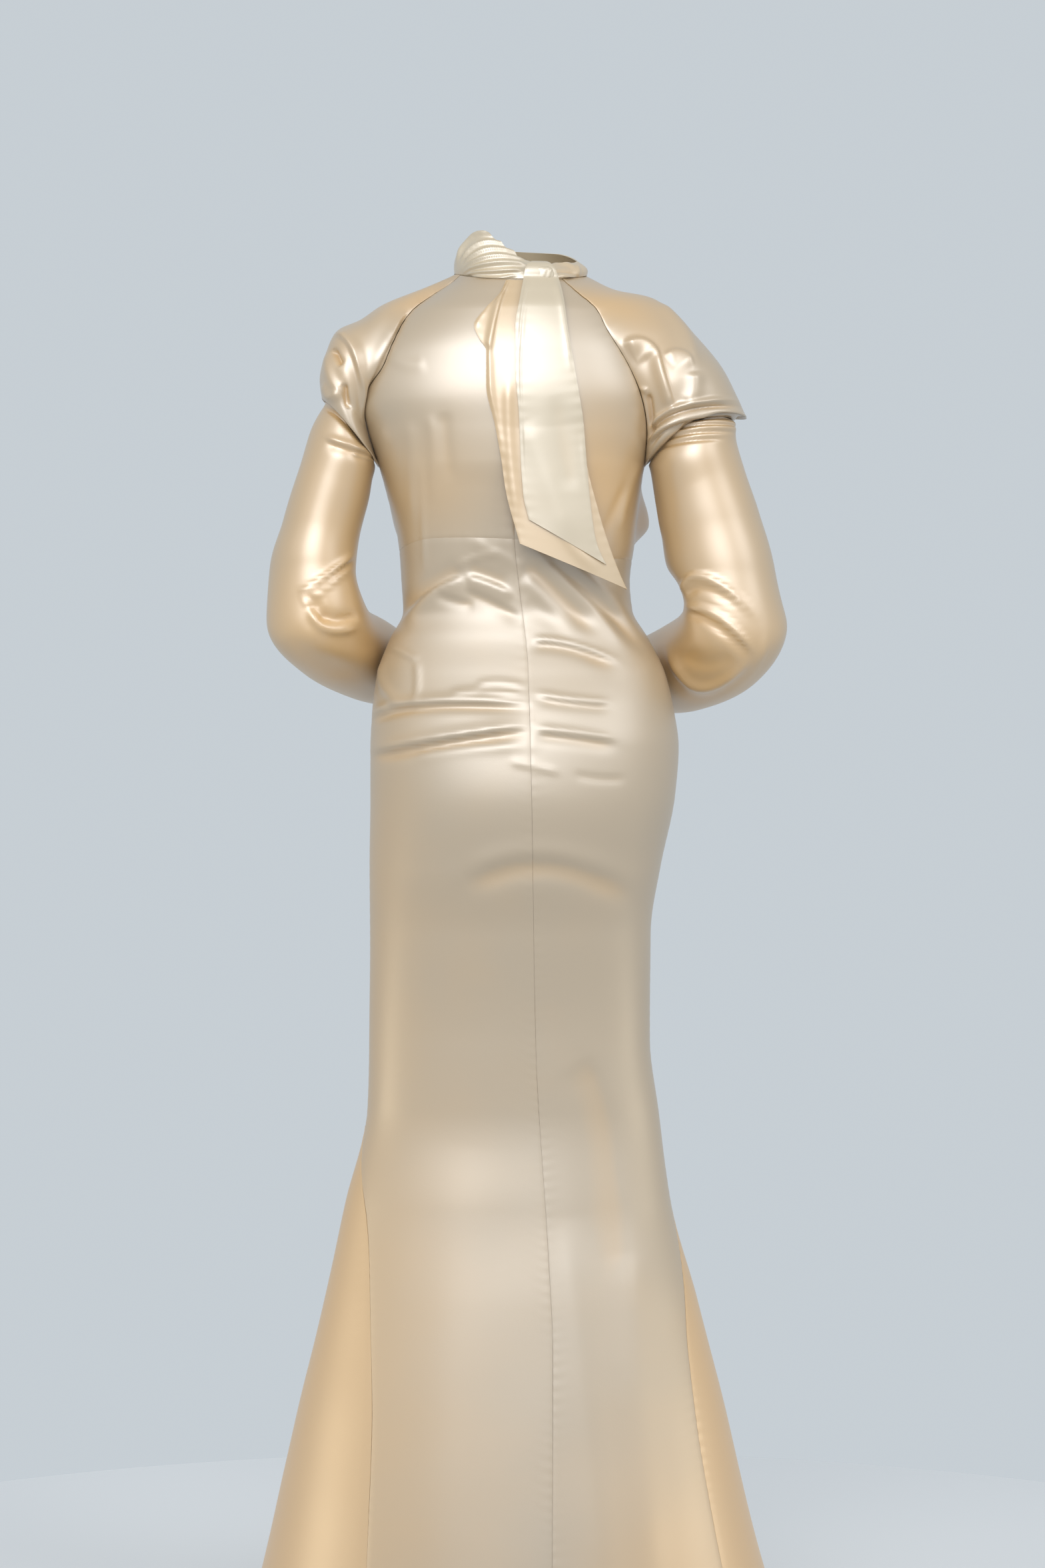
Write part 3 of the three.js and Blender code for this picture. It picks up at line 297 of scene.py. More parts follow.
# Seams and ridges are x, z from the neck down; folds have the columns of BACK_FOLDS
ARMS = {
    "left": {
        "side": 1,
        "back_seam": [
            (69, -4), (125, -49), (144, -85), (156, -114),
            (173, -138), (178, -156), (175, -182), (163, -222),
        ],
        "front_seam": [
            (64, -18), (104, -52), (128, -84), (142, -118),
            (151, -150), (159, -190), (163, -222),
        ],
        "ridge": [
            (76, -1), (111, -17), (158, -36), (184, -54),
            (211, -68), (224, -96), (231, -122), (228, -146),
        ],
        "lip": 6,
        "lift": 4,
        "rings": [
            # centre x, y, z, way to the outside x, y, z, half width, half depth
            (205, 9, -209, 0.78, 0, 0.62, 45.5, 55),
            (214, 10, -244, 0.91, 0, 0.41, 44, 54),
            (228, 12, -292, 0.98, 0.05, 0.17, 45, 53),
            (238, 15, -339, 0.94, 0.34, 0, 49, 54),
            (236, 22, -392, 0.575, 0.637, -0.51, 60, 55),
            (214, -22, -424, 0.4, 0.4, -0.82, 53, 52),
            (180, -78, -442, 0.28, 0.19, -0.94, 50, 45),
            (143, -130, -457, 0.26, 0.15, -0.95, 42, 38),
            (116, -160, -466, 0.26, 0.15, -0.95, 33, 32),
            (94, -184, -474, 0.26, 0.15, -0.95, 31, 30),
        ],
        "cap_folds": [
            (212, -74, 187, -104, 180, -172, 6.5, 9, 2.4),
            (214, -92, 209, -102, 203, -112, -7.0, 4, 4),
            (222, -90, 216, -124, 200, -146, 4.0, 5, 7),
            (199, -134, 198, -146, 194, -162, -5.0, 3, 4),
            (229, -130, 218, -147, 204, -143, 4.0, 6, 5),
            (126, -48, 152, -92, 177, -142, 3.6, 9, 2.6),
            (150, -44, 172, -64, 196, -74, 1.8, 9, 12),
        ],
        "sleeve_folds": [
            (231, -146, 204, -163, 168, -206, 4.8, 5, 2.6),
            (228, -156, 200, -175, 168, -211, -3.6, 2.4, 4),
            (222, -194, 196, -203, 170, -209, 3.0, 5, 2.4),
            (222, -200, 196, -209, 174, -216, -2.4, 2.6, 7),
            (192, -205, 178, -210, 166, -213, 2.4, 1.6, 1.6),
            (192, -213, 178, -216, 166, -219, 2.2, 1.6, 1.6),
            (252, -375, 226, -358, 187, -324, 4.5, 4, 3),
            (250, -380, 226, -364, 190, -332, -4.0, 3, 3),
            (249, -384, 228, -368, 192, -340, 3.5, 3, 4),
            (236, -378, 228, -392, 218, -404, -4.0, 8, 8),
            (238, -388, 220, -412, 184, -408, 5.0, 5, 5),
            (226, -398, 206, -402, 184, -396, -4.5, 6, 4),
            (246, -410, 214, -436, 164, -446, 2.0, 12, 12),
            (266, -420, 230, -452, 170, -470, -1.6, 12, 12),
        ],
    },
    "right": {
        "side": -1,
        "back_seam": [
            (-48, -12), (-65, -28), (-87, -48), (-99, -72),
            (-124, -114), (-138, -148), (-145, -182), (-144, -222),
        ],
        "front_seam": [
            (-58, -18), (-96, -52), (-116, -84), (-128, -118),
            (-135, -150), (-142, -190), (-144, -222),
        ],
        "ridge": [
            (-77, -2), (-108, -17), (-157, -30), (-196, -65),
            (-218, -90), (-236, -114), (-252, -146), (-261, -168),
        ],
        "lip": 15,
        "lift": 22,
        "rings": [
            (-200, 9, -214, -0.94, 0, 0.33, 53, 58),
            (-208, 10, -248, -0.94, 0, 0.35, 55, 57),
            (-219, 12, -290, -0.97, 0.05, 0.2, 58, 56),
            (-232, 14, -342, -0.94, 0.34, 0, 62, 57),
            (-248, 22, -396, -0.575, 0.637, -0.51, 64, 58),
            (-230, -18, -432, -0.4, 0.4, -0.82, 60, 56),
            (-192, -76, -452, -0.28, 0.19, -0.94, 54, 47),
            (-150, -130, -463, -0.26, 0.15, -0.95, 44, 39),
            (-120, -160, -470, -0.26, 0.15, -0.95, 33, 32),
            (-98, -184, -478, -0.26, 0.15, -0.95, 31, 30),
        ],
        "cap_folds": [
            (-161, -33, -186, -64, -198, -120, 5.0, 10, 9),
            (-198, -120, -198, -140, -191, -158, 3.5, 8, 9),
            (-117, -91, -140, -86, -157, -103, 7.0, 3.4, 17),
            (-155, -94, -163, -126, -176, -166, 6.5, 2.4, 9),
            (-164, -103, -182, -98, -196, -116, 3.6, 3, 12),
            (-145, -146, -148, -166, -149, -196, -6.5, 3, 4),
            (-128, -136, -136, -140, -146, -142, 2.4, 2.4, 3),
            (-146, -196, -172, -164, -250, -150, 4.5, 3, 2.8),
            (-147, -199, -174, -170, -254, -157, -4.0, 2.2, 2.2),
            (-148, -202, -178, -176, -256, -164, 4.5, 2.8, 2.6),
            (-149, -205, -182, -182, -258, -171, -4.0, 2.2, 2.2),
        ],
        "sleeve_folds": [
            (-144, -206, -190, -184, -266, -178, 8.0, 7, 13),
            (-147, -205, -184, -179, -252, -171, -3.4, 1.9, 1.9),
            (-147, -208, -184, -187, -254, -179, -3.6, 1.9, 1.9),
            (-148, -211, -182, -194, -246, -187, -3.6, 1.9, 1.9),
            (-149, -214, -178, -201, -232, -196, -3.2, 1.9, 2.4),
            (-184, -380, -206, -352, -270, -398, 4.5, 3, 5),
            (-190, -374, -212, -368, -250, -386, -3.0, 4, 4),
            (-186, -385, -226, -400, -268, -442, 4.5, 3, 4),
            (-190, -394, -226, -412, -262, -446, -4.0, 5, 6),
            (-170, -430, -206, -478, -262, -448, 6.0, 5, 4),
            (-186, -436, -212, -452, -246, -442, -3.0, 12, 9),
            (-176, -452, -216, -492, -284, -440, -3.4, 5, 8),
            (-280, -420, -262, -466, -214, -496, 3.0, 6, 6),
        ],
    },
}
CAP_ROWS = [
    # station, handle along the section, backwards, at the ridge
    (0, 6, -8, 10),
    (0.25, 14, -6, 24),
    (0.5, 26, 8, 46),
    (0.75, 24, 38, 70),
    (1, 2, 76, 74),
]
RIDGE_Y_ROWS = [(0, -8), (0.4, -2), (1, 8)]
FRONT_FULLNESS = 0.92
LIP_ROWS = [
    # share of the roll, down, in
    (0, 0, 0),
    (0.33, 0.3, 0.05),
    (0.66, 0.45, 0.45),
    (1, 0.2, 1),
]
LIP_AT_ARMPIT = 0.06

COLLAR_ROWS = [
    # degrees, top z, outward bulge
    (0, 38, 6),
    (40, 43, 7),
    (72, 24, 7),
    (98, 8, 6),
    (130, 6, 6),
    (180, 16, 6),
    (225, 30, 6),
    (270, 34, 6),
    (315, 36, 6),
    (360, 38, 6),
]
COLLAR_TOP = {"left": 60, "right": 66, "back": 52, "front": 56, "mid": -10}

UPPER_TAIL_ROWS = [
    # z, left x, right x
    (7, -12, -32),
    (4, -9, -36),
    (-4, -6, -41),
    (-15, -4, -45),
    (-39, 0, -50),
    (-72, 5, -54),
    (-119, 5, -62),
    (-174, 1, -71),
    (-223, -1, -77),
    (-265, -4, -85),
    (-291, -10, -98),
]
UNDER_TAIL_ROWS = [
    (-16, 16, -30),
    (-30, 22, -37),
    (-50, 39, -41),
    (-70, 52, -46),
    (-84, 47, -49),
    (-100, 38, -52),
    (-139, 38, -60),
    (-185, 28, -70),
    (-223, 21, -76),
    (-258, 16, -90),
    (-318, 0, -122),
]
TAIL_POINT = 50.0
TAIL_POINT_FROM = 0.6
HANG_FROM_Z = -130.0
HANG_SLOPE = 0.02
TAIL_TOP_Z = -12.0
TAIL_ROLL = {"z": -8, "radius": 15, "stand": 5.5, "fades": -120, "deep": 14, "steepest": 0.995}

COLLAR_FOLDS = [
    # pleats nested from the left corner to the knot, then the low roll and twist on the right
    (72, 4, 46, 42, -16, 11, 5.0, 4, 2.6),
    (70, 2, 38, 31, -15, 8, 4.2, 2.6, 1.8),
    (69, 0, 33, 22, -14, 6, 4.2, 2.6, 1.6),
    (68, -1, 30, 13, -13, 4, 4.2, 2.6, 1.6),
    (66, -3, 28, 4, -12, 1, 4.8, 3.6, 1.6),
    (62, -5, 30, -5, -4, -4, 3.9, 2.6, 1.6),
    (56, -7, 30, -13, 4, -9, 2.4, 2.4, 2.0),
    (-34, 1, -50, 8, -66, 0, 3.0, 3.6, 2.4),
    (-36, -5, -50, -3, -64, -4, -2.0, 2.4, 2.4),
    (-40, -10, -62, -8, -80, 1, 3.2, 3.6, 3.0),
    (-62, 9, -67, 2, -62, -6, 2.4, 2.4, 2.4),
]
TAIL_FOLDS = {
    "tail_upper": [
        (-10, -30, -1, -110, -7, -284, -0.7, 1.2, 1.2),
        (-8, -14, -3, -50, 0, -100, 1.2, 2, 3),
        (-40, -16, -52, -60, -58, -120, 1.6, 4, 5),
        (-6, -180, -30, -240, -60, -320, 1.6, 14, 14),
        (-40, -150, -52, -210, -58, -260, -1.2, 12, 12),
        (-72, -200, -80, -250, -88, -300, 1.4, 4, 4),
    ],
    "tail_under": [
        (12, -16, 25, -50, 36, -112, 4.5, 5, 2.2),
        (28, -26, 44, -56, 50, -72, 1.6, 3, 3),
        (36, -100, 34, -150, 22, -230, 3.4, 5, 4),
        (12, -130, 12, -200, 2, -290, 2.4, 6, 6),
        (-10, -200, -40, -290, -90, -350, 2.0, 8, 7),
    ],
}
UNDER_TAIL_OFF = 2.8
UPPER_TAIL_OFF = 5.8
KNOT_BACK_Z = -15.0
KNOT = {"x": -22, "z": -9, "wide": 17, "high": 10, "deep": 6, "off": -3, "square": 0.72}
KNOT_GRID = {"u_segments": 64, "v_segments": 40}
KNOT_GROOVES = {"count": 5, "slant": 0.35, "depth": 0.04}

# Slow waves of each piece: the number that sets them apart, their height and their length
WAVES = {
    "bodice_back_left": (1, 0.5, 150),
    "bodice_back_right": (2, 0.5, 150),
    "bodice_front": (3, 0.5, 150),
    "skirt_back_left": (5, 0.5, 150),
    "skirt_back_right": (5 + math.pi, 0.5, 150),
    "skirt_front": (7, 0.5, 150),
    "godet_left": (10, 0.5, 150),
    "godet_right": (8, 0.5, 150),
    "shoulder_left": (20, 0.7, 90),
    "shoulder_right": (21, 0.7, 90),
    "sleeve_left": (30, 0.8, 110),
    "sleeve_right": (31, 0.8, 110),
    "cuff_left": (30, 0.8, 110),
    "cuff_right": (31, 0.8, 110),
    "collar": (40, 0.5, 70),
    "tail_under": (52.8, 0.4, 80),
    "tail_upper": (55.8, 0.4, 80),
}


def smooth_table(keys, values):
    """Smooth curve through a short table, without overshoot, held level past its ends."""
    keys = np.array(keys, dtype=float)
    values = np.array(values, dtype=float)
    steps = np.diff(values) / np.diff(keys)
    slopes = np.zeros_like(values)
    slopes[0], slopes[-1] = steps[0], steps[-1]
    same_way = steps[:-1] * steps[1:] > 0
    total = np.where(same_way, steps[:-1] + steps[1:], 1)
    slopes[1:-1] = np.where(same_way, 2 * steps[:-1] * steps[1:] / total, 0)

    def read(key):
        held = np.clip(key, keys[0], keys[-1])
        i = np.clip(np.searchsorted(keys, held, side="right") - 1, 0, len(keys) - 2)
        span = keys[i + 1] - keys[i]
        t = (held - keys[i]) / span
        level = values[i] * (1 + 2 * t) * (1 - t) ** 2 + values[i + 1] * (3 - 2 * t) * t * t
        return level + span * (slopes[i] * t * (1 - t) ** 2 + slopes[i + 1] * t * t * (t - 1))

    return read


def by_height(rows, column):
    """A table whose first column falls, read by that column."""
    read = smooth_table([-row[0] for row in rows], [row[column] for row in rows])
    return lambda z: read(-np.asarray(z, dtype=float))


def by_station(rows, column):
    """A table whose first column rises, read by that column."""
    return smooth_table([row[0] for row in rows], [row[column] for row in rows])


def smoothstep(value, low, high):
    t = np.clip((value - low) / (high - low), 0, 1)
    return t * t * (3 - 2 * t)


def lerp(a, b, t):
    return a + (b - a) * t


def curve_through(points, closed=False, even=True):
    """Centripetal Catmull-Rom curve, read by its share of the length or, if not even, of its points."""
    points = np.array(points, dtype=float)
    if closed:
        points = np.concatenate([points[-1:], points, points[:2]])
    else:
        points = np.concatenate([[2 * points[0] - points[1]], points, [2 * points[-1] - points[-2]]])
    samples = []
    for a, b, c, d in zip(points, points[1:], points[2:], points[3:]):
        before, here, after = (max(np.linalg.norm(q - p), 1e-6) ** 0.5 for p, q in ((a, b), (b, c), (c, d)))
        start = ((b - a) / before - (c - a) / (before + here) + (c - b) / here) * here
        finish = ((c - b) / here - (d - b) / (here + after) + (d - c) / after) * here
        t = np.linspace(0, 1, CURVE_STEPS, endpoint=False)[:, None]
        samples.append((2 * t**3 - 3 * t**2 + 1) * b + (3 * t**2 - 2 * t**3) * c
                       + (t**3 - 2 * t**2 + t) * start + (t**3 - t**2) * finish)
    samples = np.concatenate(samples + [points[-2][None]])
    place = np.linspace(0, 1, len(samples))
    if even:
        place = np.concatenate([[0], np.cumsum(np.linalg.norm(np.diff(samples, axis=0), axis=1))])
        place = place / place[-1]
    return lambda t: np.stack([np.interp(t, place, samples[:, k]) for k in range(samples.shape[1])], -1)


def fold_height(fold, x, z):
    """Height of one fold at points of the plane it is drawn in."""
    x1, z1, x2, z2, x3, z3, rise, above, below = fold
    t = np.linspace(0, 1, FOLD_PIECES + 1)
    a, b, c = (1 - t) * (1 - 2 * t), 4 * t * (1 - t), t * (2 * t - 1)
    arc_x = a * x1 + b * x2 + c * x3
    arc_z = a * z1 + b * z2 + c * z3
    reach = FOLD_REACH * max(above, below)
    height = np.zeros(np.shape(x))
    near = (x > arc_x.min() - reach) & (x < arc_x.max() + reach)
    near &= (z > arc_z.min() - reach) & (z < arc_z.max() + reach)
    if not near.any():
        return height
    px, pz = x[near], z[near]
    nearest = np.full(px.shape, np.inf)
    found = np.zeros(px.shape)
    handed = np.sign(x3 - x1) or 1
    for i in range(FOLD_PIECES):
        bx, bz = arc_x[i + 1] - arc_x[i], arc_z[i + 1] - arc_z[i]
        along = np.clip(((px - arc_x[i]) * bx + (pz - arc_z[i]) * bz) / (bx * bx + bz * bz), 0, 1)
        dx, dz = px - arc_x[i] - along * bx, pz - arc_z[i] - along * bz
        distance = np.hypot(dx, dz)
        place = (i + along) / FOLD_PIECES
        fade = smoothstep(place, *FOLD_FADE) * smoothstep(1 - place, *FOLD_FADE)
        width = np.where((bx * dz - bz * dx) * handed > 0, above, below)
        value = rise * fade * np.exp(-((distance / width) ** 2))
        closer = distance < nearest
        found = np.where(closer, value, found)
        nearest = np.where(closer, distance, nearest)
    height[near] = found
    return height


def folds_at(folds, x, z):
    """Height of a table of folds together."""
    return sum((fold_height(fold, x, z) for fold in folds), np.zeros(np.shape(x)))


half_left, half_right, depth_back, depth_front, side_line = (
    by_height(TRUNK_ROWS, column) for column in (1, 2, 3, 4, 5))
centre_back_x = by_height(CENTRE_BACK_ROWS, 1)
waist_at = by_station(WAIST_ROWS, 1)


def waist_z(angle):
    """Height of the waist seam at an angle round the trunk."""
    return waist_at(np.degrees(np.where(angle < -math.pi / 2, angle + 2 * math.pi, angle)))


def trunk_relief(x, z, y, angle):
    """Relief of the trunk over its sections: folds behind, fullness over the waist and folds in front."""
    behind = smoothstep(y, 0, SIDE_FADE) * folds_at(BACK_FOLDS, x, z)
    rising = (BLOUSE["top"] - z) / (BLOUSE["top"] - BLOUSE["peak"])
    falling = (z - BLOUSE["bottom"]) / (BLOUSE["peak"] - BLOUSE["bottom"])
    drop = smoothstep(np.where(z > BLOUSE["peak"], rising, falling), 0, 1)
    full = np.where(np.cos(angle) > 0, BLOUSE["left"], BLOUSE["right"])
    before = drop * full * smoothstep(np.abs(np.sin(angle)), *BLOUSE_TURN)
    before = before + smoothstep(-y, 0, SIDE_FADE) * folds_at(FRONT_FOLDS, x, z)
    return np.where(y > 0, behind, before)


def trunk_point(angle, z):
    """A point of the trunk's outer face at an angle round it: 0 left side, 90 back, 180 right side."""
    angle, z = np.broadcast_arrays(np.asarray(angle, dtype=float), np.asarray(z, dtype=float))
    cos, sin = np.cos(angle), np.sin(angle)
    wide = np.where(cos > 0, half_left(z), half_right(z))
    deep = np.where(sin > 0, depth_back(z), depth_front(z))
    n = SECTION_POWER
    radius = (np.abs(cos / wide) ** n + np.abs(sin / deep) ** n) ** (-1 / n)
    x, y = radius * cos, radius * sin
    across_x = np.sign(x) * np.abs(x / wide) ** (n - 1) / wide
    across_y = np.sign(y) * np.abs(y / deep) ** (n - 1) / deep
    push = trunk_relief(x, z, y, angle) / np.hypot(across_x, across_y)
    return np.stack([x + push * across_x, side_line(z) + y + push * across_y, z], -1)


def trunk_angle(x, z, way):
    """The angle at which the trunk's back (way 1) or front (way -1) has a given x."""
    wide = np.where(x > 0, half_left(z), half_right(z))
    deep = depth_back(z) if way > 0 else depth_front(z)
    share = np.minimum(np.abs(x) / wide, 1)
    return np.arctan2(way * deep * (1 - share**SECTION_POWER) ** (1 / SECTION_POWER), x)


def seam_of(points, way):
    """A seam drawn on the trunk's back (way 1) or front (way -1), read as angle and height."""
    curve = curve_through(points)

    def at(t):
        place = curve(t)
        return trunk_angle(place[..., 0], place[..., 1], way), place[..., 1]

    return at


for arm in ARMS.values():
    arm["back"] = seam_of(arm["back_seam"], 1)
    arm["front"] = seam_of(arm["front_seam"], -1)
    arm["over"] = curve_through(arm["ridge"])
ridge_y = by_station(RIDGE_Y_ROWS, 1)
along_seam, backwards, at_ridge = (by_station(CAP_ROWS, column) for column in (1, 2, 3))
lip_down, lip_in = (by_station(LIP_ROWS, column) for column in (1, 2))


def unit(vectors):
    return vectors / np.maximum(np.linalg.norm(vectors, axis=-1, keepdims=True), 1e-9)


def normals_of(points, inside, ring):
    """Outward normals of a grid of points, and whether its grid already turns outwards."""
    if ring:
        wrapped = np.concatenate([points[:, -1:], points, points[:, :1]], axis=1)
        across = np.gradient(wrapped, axis=1)[:, 1:-1]
    else:
        across = np.gradient(points, axis=1)
    out = unit(np.cross(across, np.gradient(points, axis=0)))
    turn = 1 if np.sum(out * (points - inside)) > 0 else -1
    return out * turn, turn


def edge_lengths(points):
    """Distance of each grid point from the first and last column and row, along the cloth."""
    across = np.linalg.norm(np.diff(points, axis=1), axis=-1)
    across = np.concatenate([np.zeros((len(points), 1)), np.cumsum(across, axis=1)], axis=1)
    down = np.linalg.norm(np.diff(points, axis=0), axis=-1)
    down = np.concatenate([np.zeros((1, points.shape[1])), np.cumsum(down, axis=0)], axis=0)
    return across, across[:, -1:] - across, down, down[-1:] - down


def waves(points, seed, rise, length):
    """Slow unevenness of worn cloth, the same on each run."""
    total = np.zeros(points.shape[:2])
    for k in range(WAVE_PARTS):
        turn, lean, shift = (pair[0] * seed + pair[1] * k for pair in (WAVE_TURN, WAVE_LEAN, WAVE_SHIFT))
        rate = 2 * math.pi / length * (WAVE_RATE[0] + WAVE_RATE[1] * k)
        way = np.array([math.cos(turn) * math.cos(lean), math.sin(turn) * math.cos(lean), math.sin(lean)])
        total += np.sin(points @ way * rate + shift)
    return rise * total / WAVE_PARTS


def seam_edge(distance, along, seed):
    """A stitched edge: it rolls under at the seam, and its stitches pucker the cloth beside it."""
    varies = PUCKER_VARIES
    uneven = varies["least"] + varies["more"] * np.sin(along / varies["over"] + seed)
    shift = varies["shift"] * np.sin(along / varies["each"] + seed)
    ripple = np.sin(2 * math.pi * along / PUCKER["length"] + shift)
    roll = SEAM_ROLL["depth"] * np.exp(-((distance / SEAM_ROLL["width"]) ** 2))
    return PUCKER["height"] * uneven * np.exp(-distance / PUCKER["reach"]) * ripple - roll


def worn(name, points, normals, seams, folds, ring):
    """Heights of worn cloth: its drawn folds, slow waves, and rolled, puckered edges at the seams named."""
    seed, rise, length = WAVES[name]
    first, last, top, bottom = edge_lengths(points)
    edges = {"first": (first, top), "last": (last, top), "top": (top, first), "bottom": (bottom, first)}
    share = smoothstep(normals[..., 1], *FACES_BACK)
    if not ring:
        share = share * smoothstep(np.minimum(first, last), 0, SEAM_HOLD)
    height = waves(points, seed, rise, length) + share * folds_at(folds, points[..., 0], points[..., 2])
    for seam in seams:
        height = height + seam_edge(*edges[seam], seed + len(seam))
    return height


# Panels of the trunk


def bodice_edge(seam, side_angle):
    """Down a raglan seam to the armpit and on down the side seam to the waist: angles and heights."""
    angle, z = seam(np.linspace(0, 1, RAGLAN_STATIONS))
    down = np.linspace(0, 1, SIDE_STATIONS)[1:]
    side_z = lerp(z[-1], waist_z(side_angle), down)
    angle = np.concatenate([angle[:-1], [side_angle], np.full(len(down), side_angle)])
    return angle, np.concatenate([z, side_z])


def centre_back_edge(other, top, bottom):
    """Down the centre back seam, with its stations shared out as on the other edge."""
    z = other[1]
    own = lerp(top, bottom, (z - z[0]) / (z[-1] - z[0]))
    return trunk_angle(centre_back_x(own), own, 1), own


def skirt_edge(z, side_angle, godet, way):
    """Down the side seam and then along a godet."""
    opening = by_height(godet["rows"], 1)
    swing = np.where(z > godet["apex"], 0, np.radians(opening(z)))
    return side_angle + way * swing, z


def waist_line(u, angle):
    return waist_z(angle)


def hem_line(u, angle):
    return np.full_like(angle, HEM_Z)


def trunk_panel(first, second, columns, top_z, bottom_z):
    """A panel between two edges; its rows are shared out between its top and bottom lines."""
    u = np.linspace(0, 1, columns)[None, :]
    place_first = (first[1] - first[1][0]) / (first[1][-1] - first[1][0])
    place_second = (second[1] - second[1][0]) / (second[1][-1] - second[1][0])
    v = lerp(place_first[:, None], place_second[:, None], u)
    angle = lerp(first[0][:, None], second[0][:, None], u)
    z = lerp(top_z(u, angle[:1]), bottom_z(u, angle[-1:]), v)
    inset = SEAM / 2 / half_left(z) * (np.exp(-u * columns) - np.exp((u - 1) * columns))
    return trunk_point(angle + np.sign(second[0][-1] - first[0][-1]) * inset, z)


# Caps and sleeves


def cap_point(arm, t, side):
    """A point of a cap: t from the neck to the lip, side from -1 at the back seam over the ridge to 1."""
    t, side = np.broadcast_arrays(np.asarray(t, dtype=float), np.asarray(side, dtype=float))
    back_angle, back_z = arm["back"](t)
    front_angle, front_z = arm["front"](t)
    behind = side < 0
    way = np.where(behind, 1.0, -FRONT_FULLNESS)
    start = trunk_point(np.where(behind, back_angle, front_angle), np.where(behind, back_z, front_z))
    over = arm["over"](t)
    ridge = np.stack([over[..., 0], ridge_y(t), over[..., 1]], -1)
    level = np.array([1.0, 0.0, 1.0])
    leave = unit((ridge - start) * level) * along_seam(t)[..., None]
    leave[..., 1] += way * backwards(t)
    start = start + unit(leave) * SEAM
    crest = ridge.copy()
    crest[..., 1] += way * at_ridge(t)
    s = (1 - np.abs(side))[..., None]
    r = 1 - s
    point = r**3 * start + 3 * s * r**2 * (start + leave) + 3 * s * s * r * crest + s**3 * ridge
    point[..., 2] += arm["lift"] * t**3 * np.sin(math.pi * side) ** 2
    return point


def cap_loop(arm, side):
    """The cap's open end: its points, the ways inward and down, and how big its roll is."""
    point = cap_point(arm, np.ones_like(side), side)
    back, top = cap_point(arm, 1.0, -1.0), cap_point(arm, 1.0, 0.0)
    inward = unit((back + top) / 2 - point)
    down = unit(np.cross(unit(top - back), np.array([0.0, arm["side"], 0.0])))
    size = arm["lip"] * np.maximum(LIP_AT_ARMPIT, np.cos(math.pi * side / 2))
    return point, inward, down, size[..., None]


def lip_point(arm, side, share):
    """A point of the rolled lip, by its share of the roll."""
    point, inward, down, size = cap_loop(arm, side)
    return point + down * size * lip_down(share) + inward * size * lip_in(share)


def sleeve_loops(arm):
    """The rings of a sleeve as functions of side: its seam in the cap's lip, then those of the table."""
    rings = np.array(arm["rings"], dtype=float)
    centres, outward = rings[:, :3], unit(rings[:, 3:6])
    half, deep = rings[:, 6], rings[:, 7]
    top = (lip_point(arm, np.array(-1.0), 1.0) + lip_point(arm, np.array(0.0), 1.0)) / 2
    along = np.concatenate([top[None], centres])
    loops = []

    def seam_loop(side):
        _, inward, down, _ = cap_loop(arm, side)
        return lip_point(arm, side, 1.0) + inward * SEAM - down * SEAM

    loops.append(seam_loop)
    for k in range(len(rings)):
        tangent = unit(along[min(k + 2, len(along) - 1)] - along[k])
        backward = unit(np.cross(outward[k], tangent)) * arm["side"]

        def ring_loop(side, k=k, backward=backward):
            swing = math.pi * side[..., None]
            return centres[k] + outward[k] * half[k] * np.cos(swing) - backward * deep[k] * np.sin(swing)

        loops.append(ring_loop)
    return loops


def clear_of_trunk(points):
    """Moves points of a sleeve out of the trunk, softly."""
    mid = side_line(points[..., 2])
    x, y = points[..., 0], points[..., 1] - mid
    distance = np.hypot(x, y)
    surface = trunk_point(np.arctan2(y, x), points[..., 2])
    margin = distance - np.hypot(surface[..., 0], surface[..., 1] - mid) - SLEEVE_CLEARANCE
    moved = (np.hypot(margin, CLEAR_SOFTLY) - margin) / 2
    grow = 1 + moved * smoothstep(CLEAR_WITHIN - margin, 0, CLEAR_WITHIN) / distance
    return np.stack([x * grow, mid + y * grow, points[..., 2]], -1)


def sleeve_points(arm, start, stop, rows, columns):
    """A stretch of a sleeve, on smooth curves through its rings."""
    loops = sleeve_loops(arm)
    side = np.linspace(-1, 1, columns, endpoint=False)
    last = len(loops) - 1
    levels = []
    for t in start + (stop - start) * np.linspace(0, 1, rows) ** SLEEVE_CROWDING:
        k = min(max(int(t), 0), last - 1)
        f = t - k
        a, b, c, d = (loops[min(max(n, 0), last)](side) for n in (k - 1, k, k + 1, k + 2))
        twice = 2 * b + (c - a) * f + (2 * a - 5 * b + 4 * c - d) * f**2 + (3 * b - a - 3 * c + d) * f**3
        levels.append(twice / 2)
    return clear_of_trunk(np.array(levels))


# Collar and tails


def neckline():
    """The closed neck seam, from the left ridge round the back and the front."""
    left_back, right_back = ARMS["left"]["back"](0.0), ARMS["right"]["back"](0.0)
    left_front, right_front = ARMS["left"]["front"](0.0), ARMS["right"]["front"](0.0)
    centre = trunk_angle(centre_back_x(NECK_BACK_Z), NECK_BACK_Z, 1)

    def behind(seam, u):
        return trunk_point(lerp(centre, seam[0], u), lerp(NECK_BACK_Z, seam[1], u * u))

    def before(u):
        z = lerp(NECK_FRONT_Z, left_front[1], (2 * u - 1) ** 2)
        return trunk_point(lerp(left_front[0], right_front[0], u), z)

    left, right = ARMS["left"], ARMS["right"]
    return curve_through([
        cap_point(left, 0, 0), cap_point(left, 0, -0.5), behind(left_back, 1), behind(left_back, 0.5),
        behind(left_back, 0), behind(right_back, 0.5), behind(right_back, 1),
        cap_point(right, 0, -0.5), cap_point(right, 0, 0), cap_point(right, 0, 0.5),
        before(1), before(0.75), before(0.5), before(0.25), before(0), cap_point(left, 0, 0.5),
    ], closed=True, even=False)


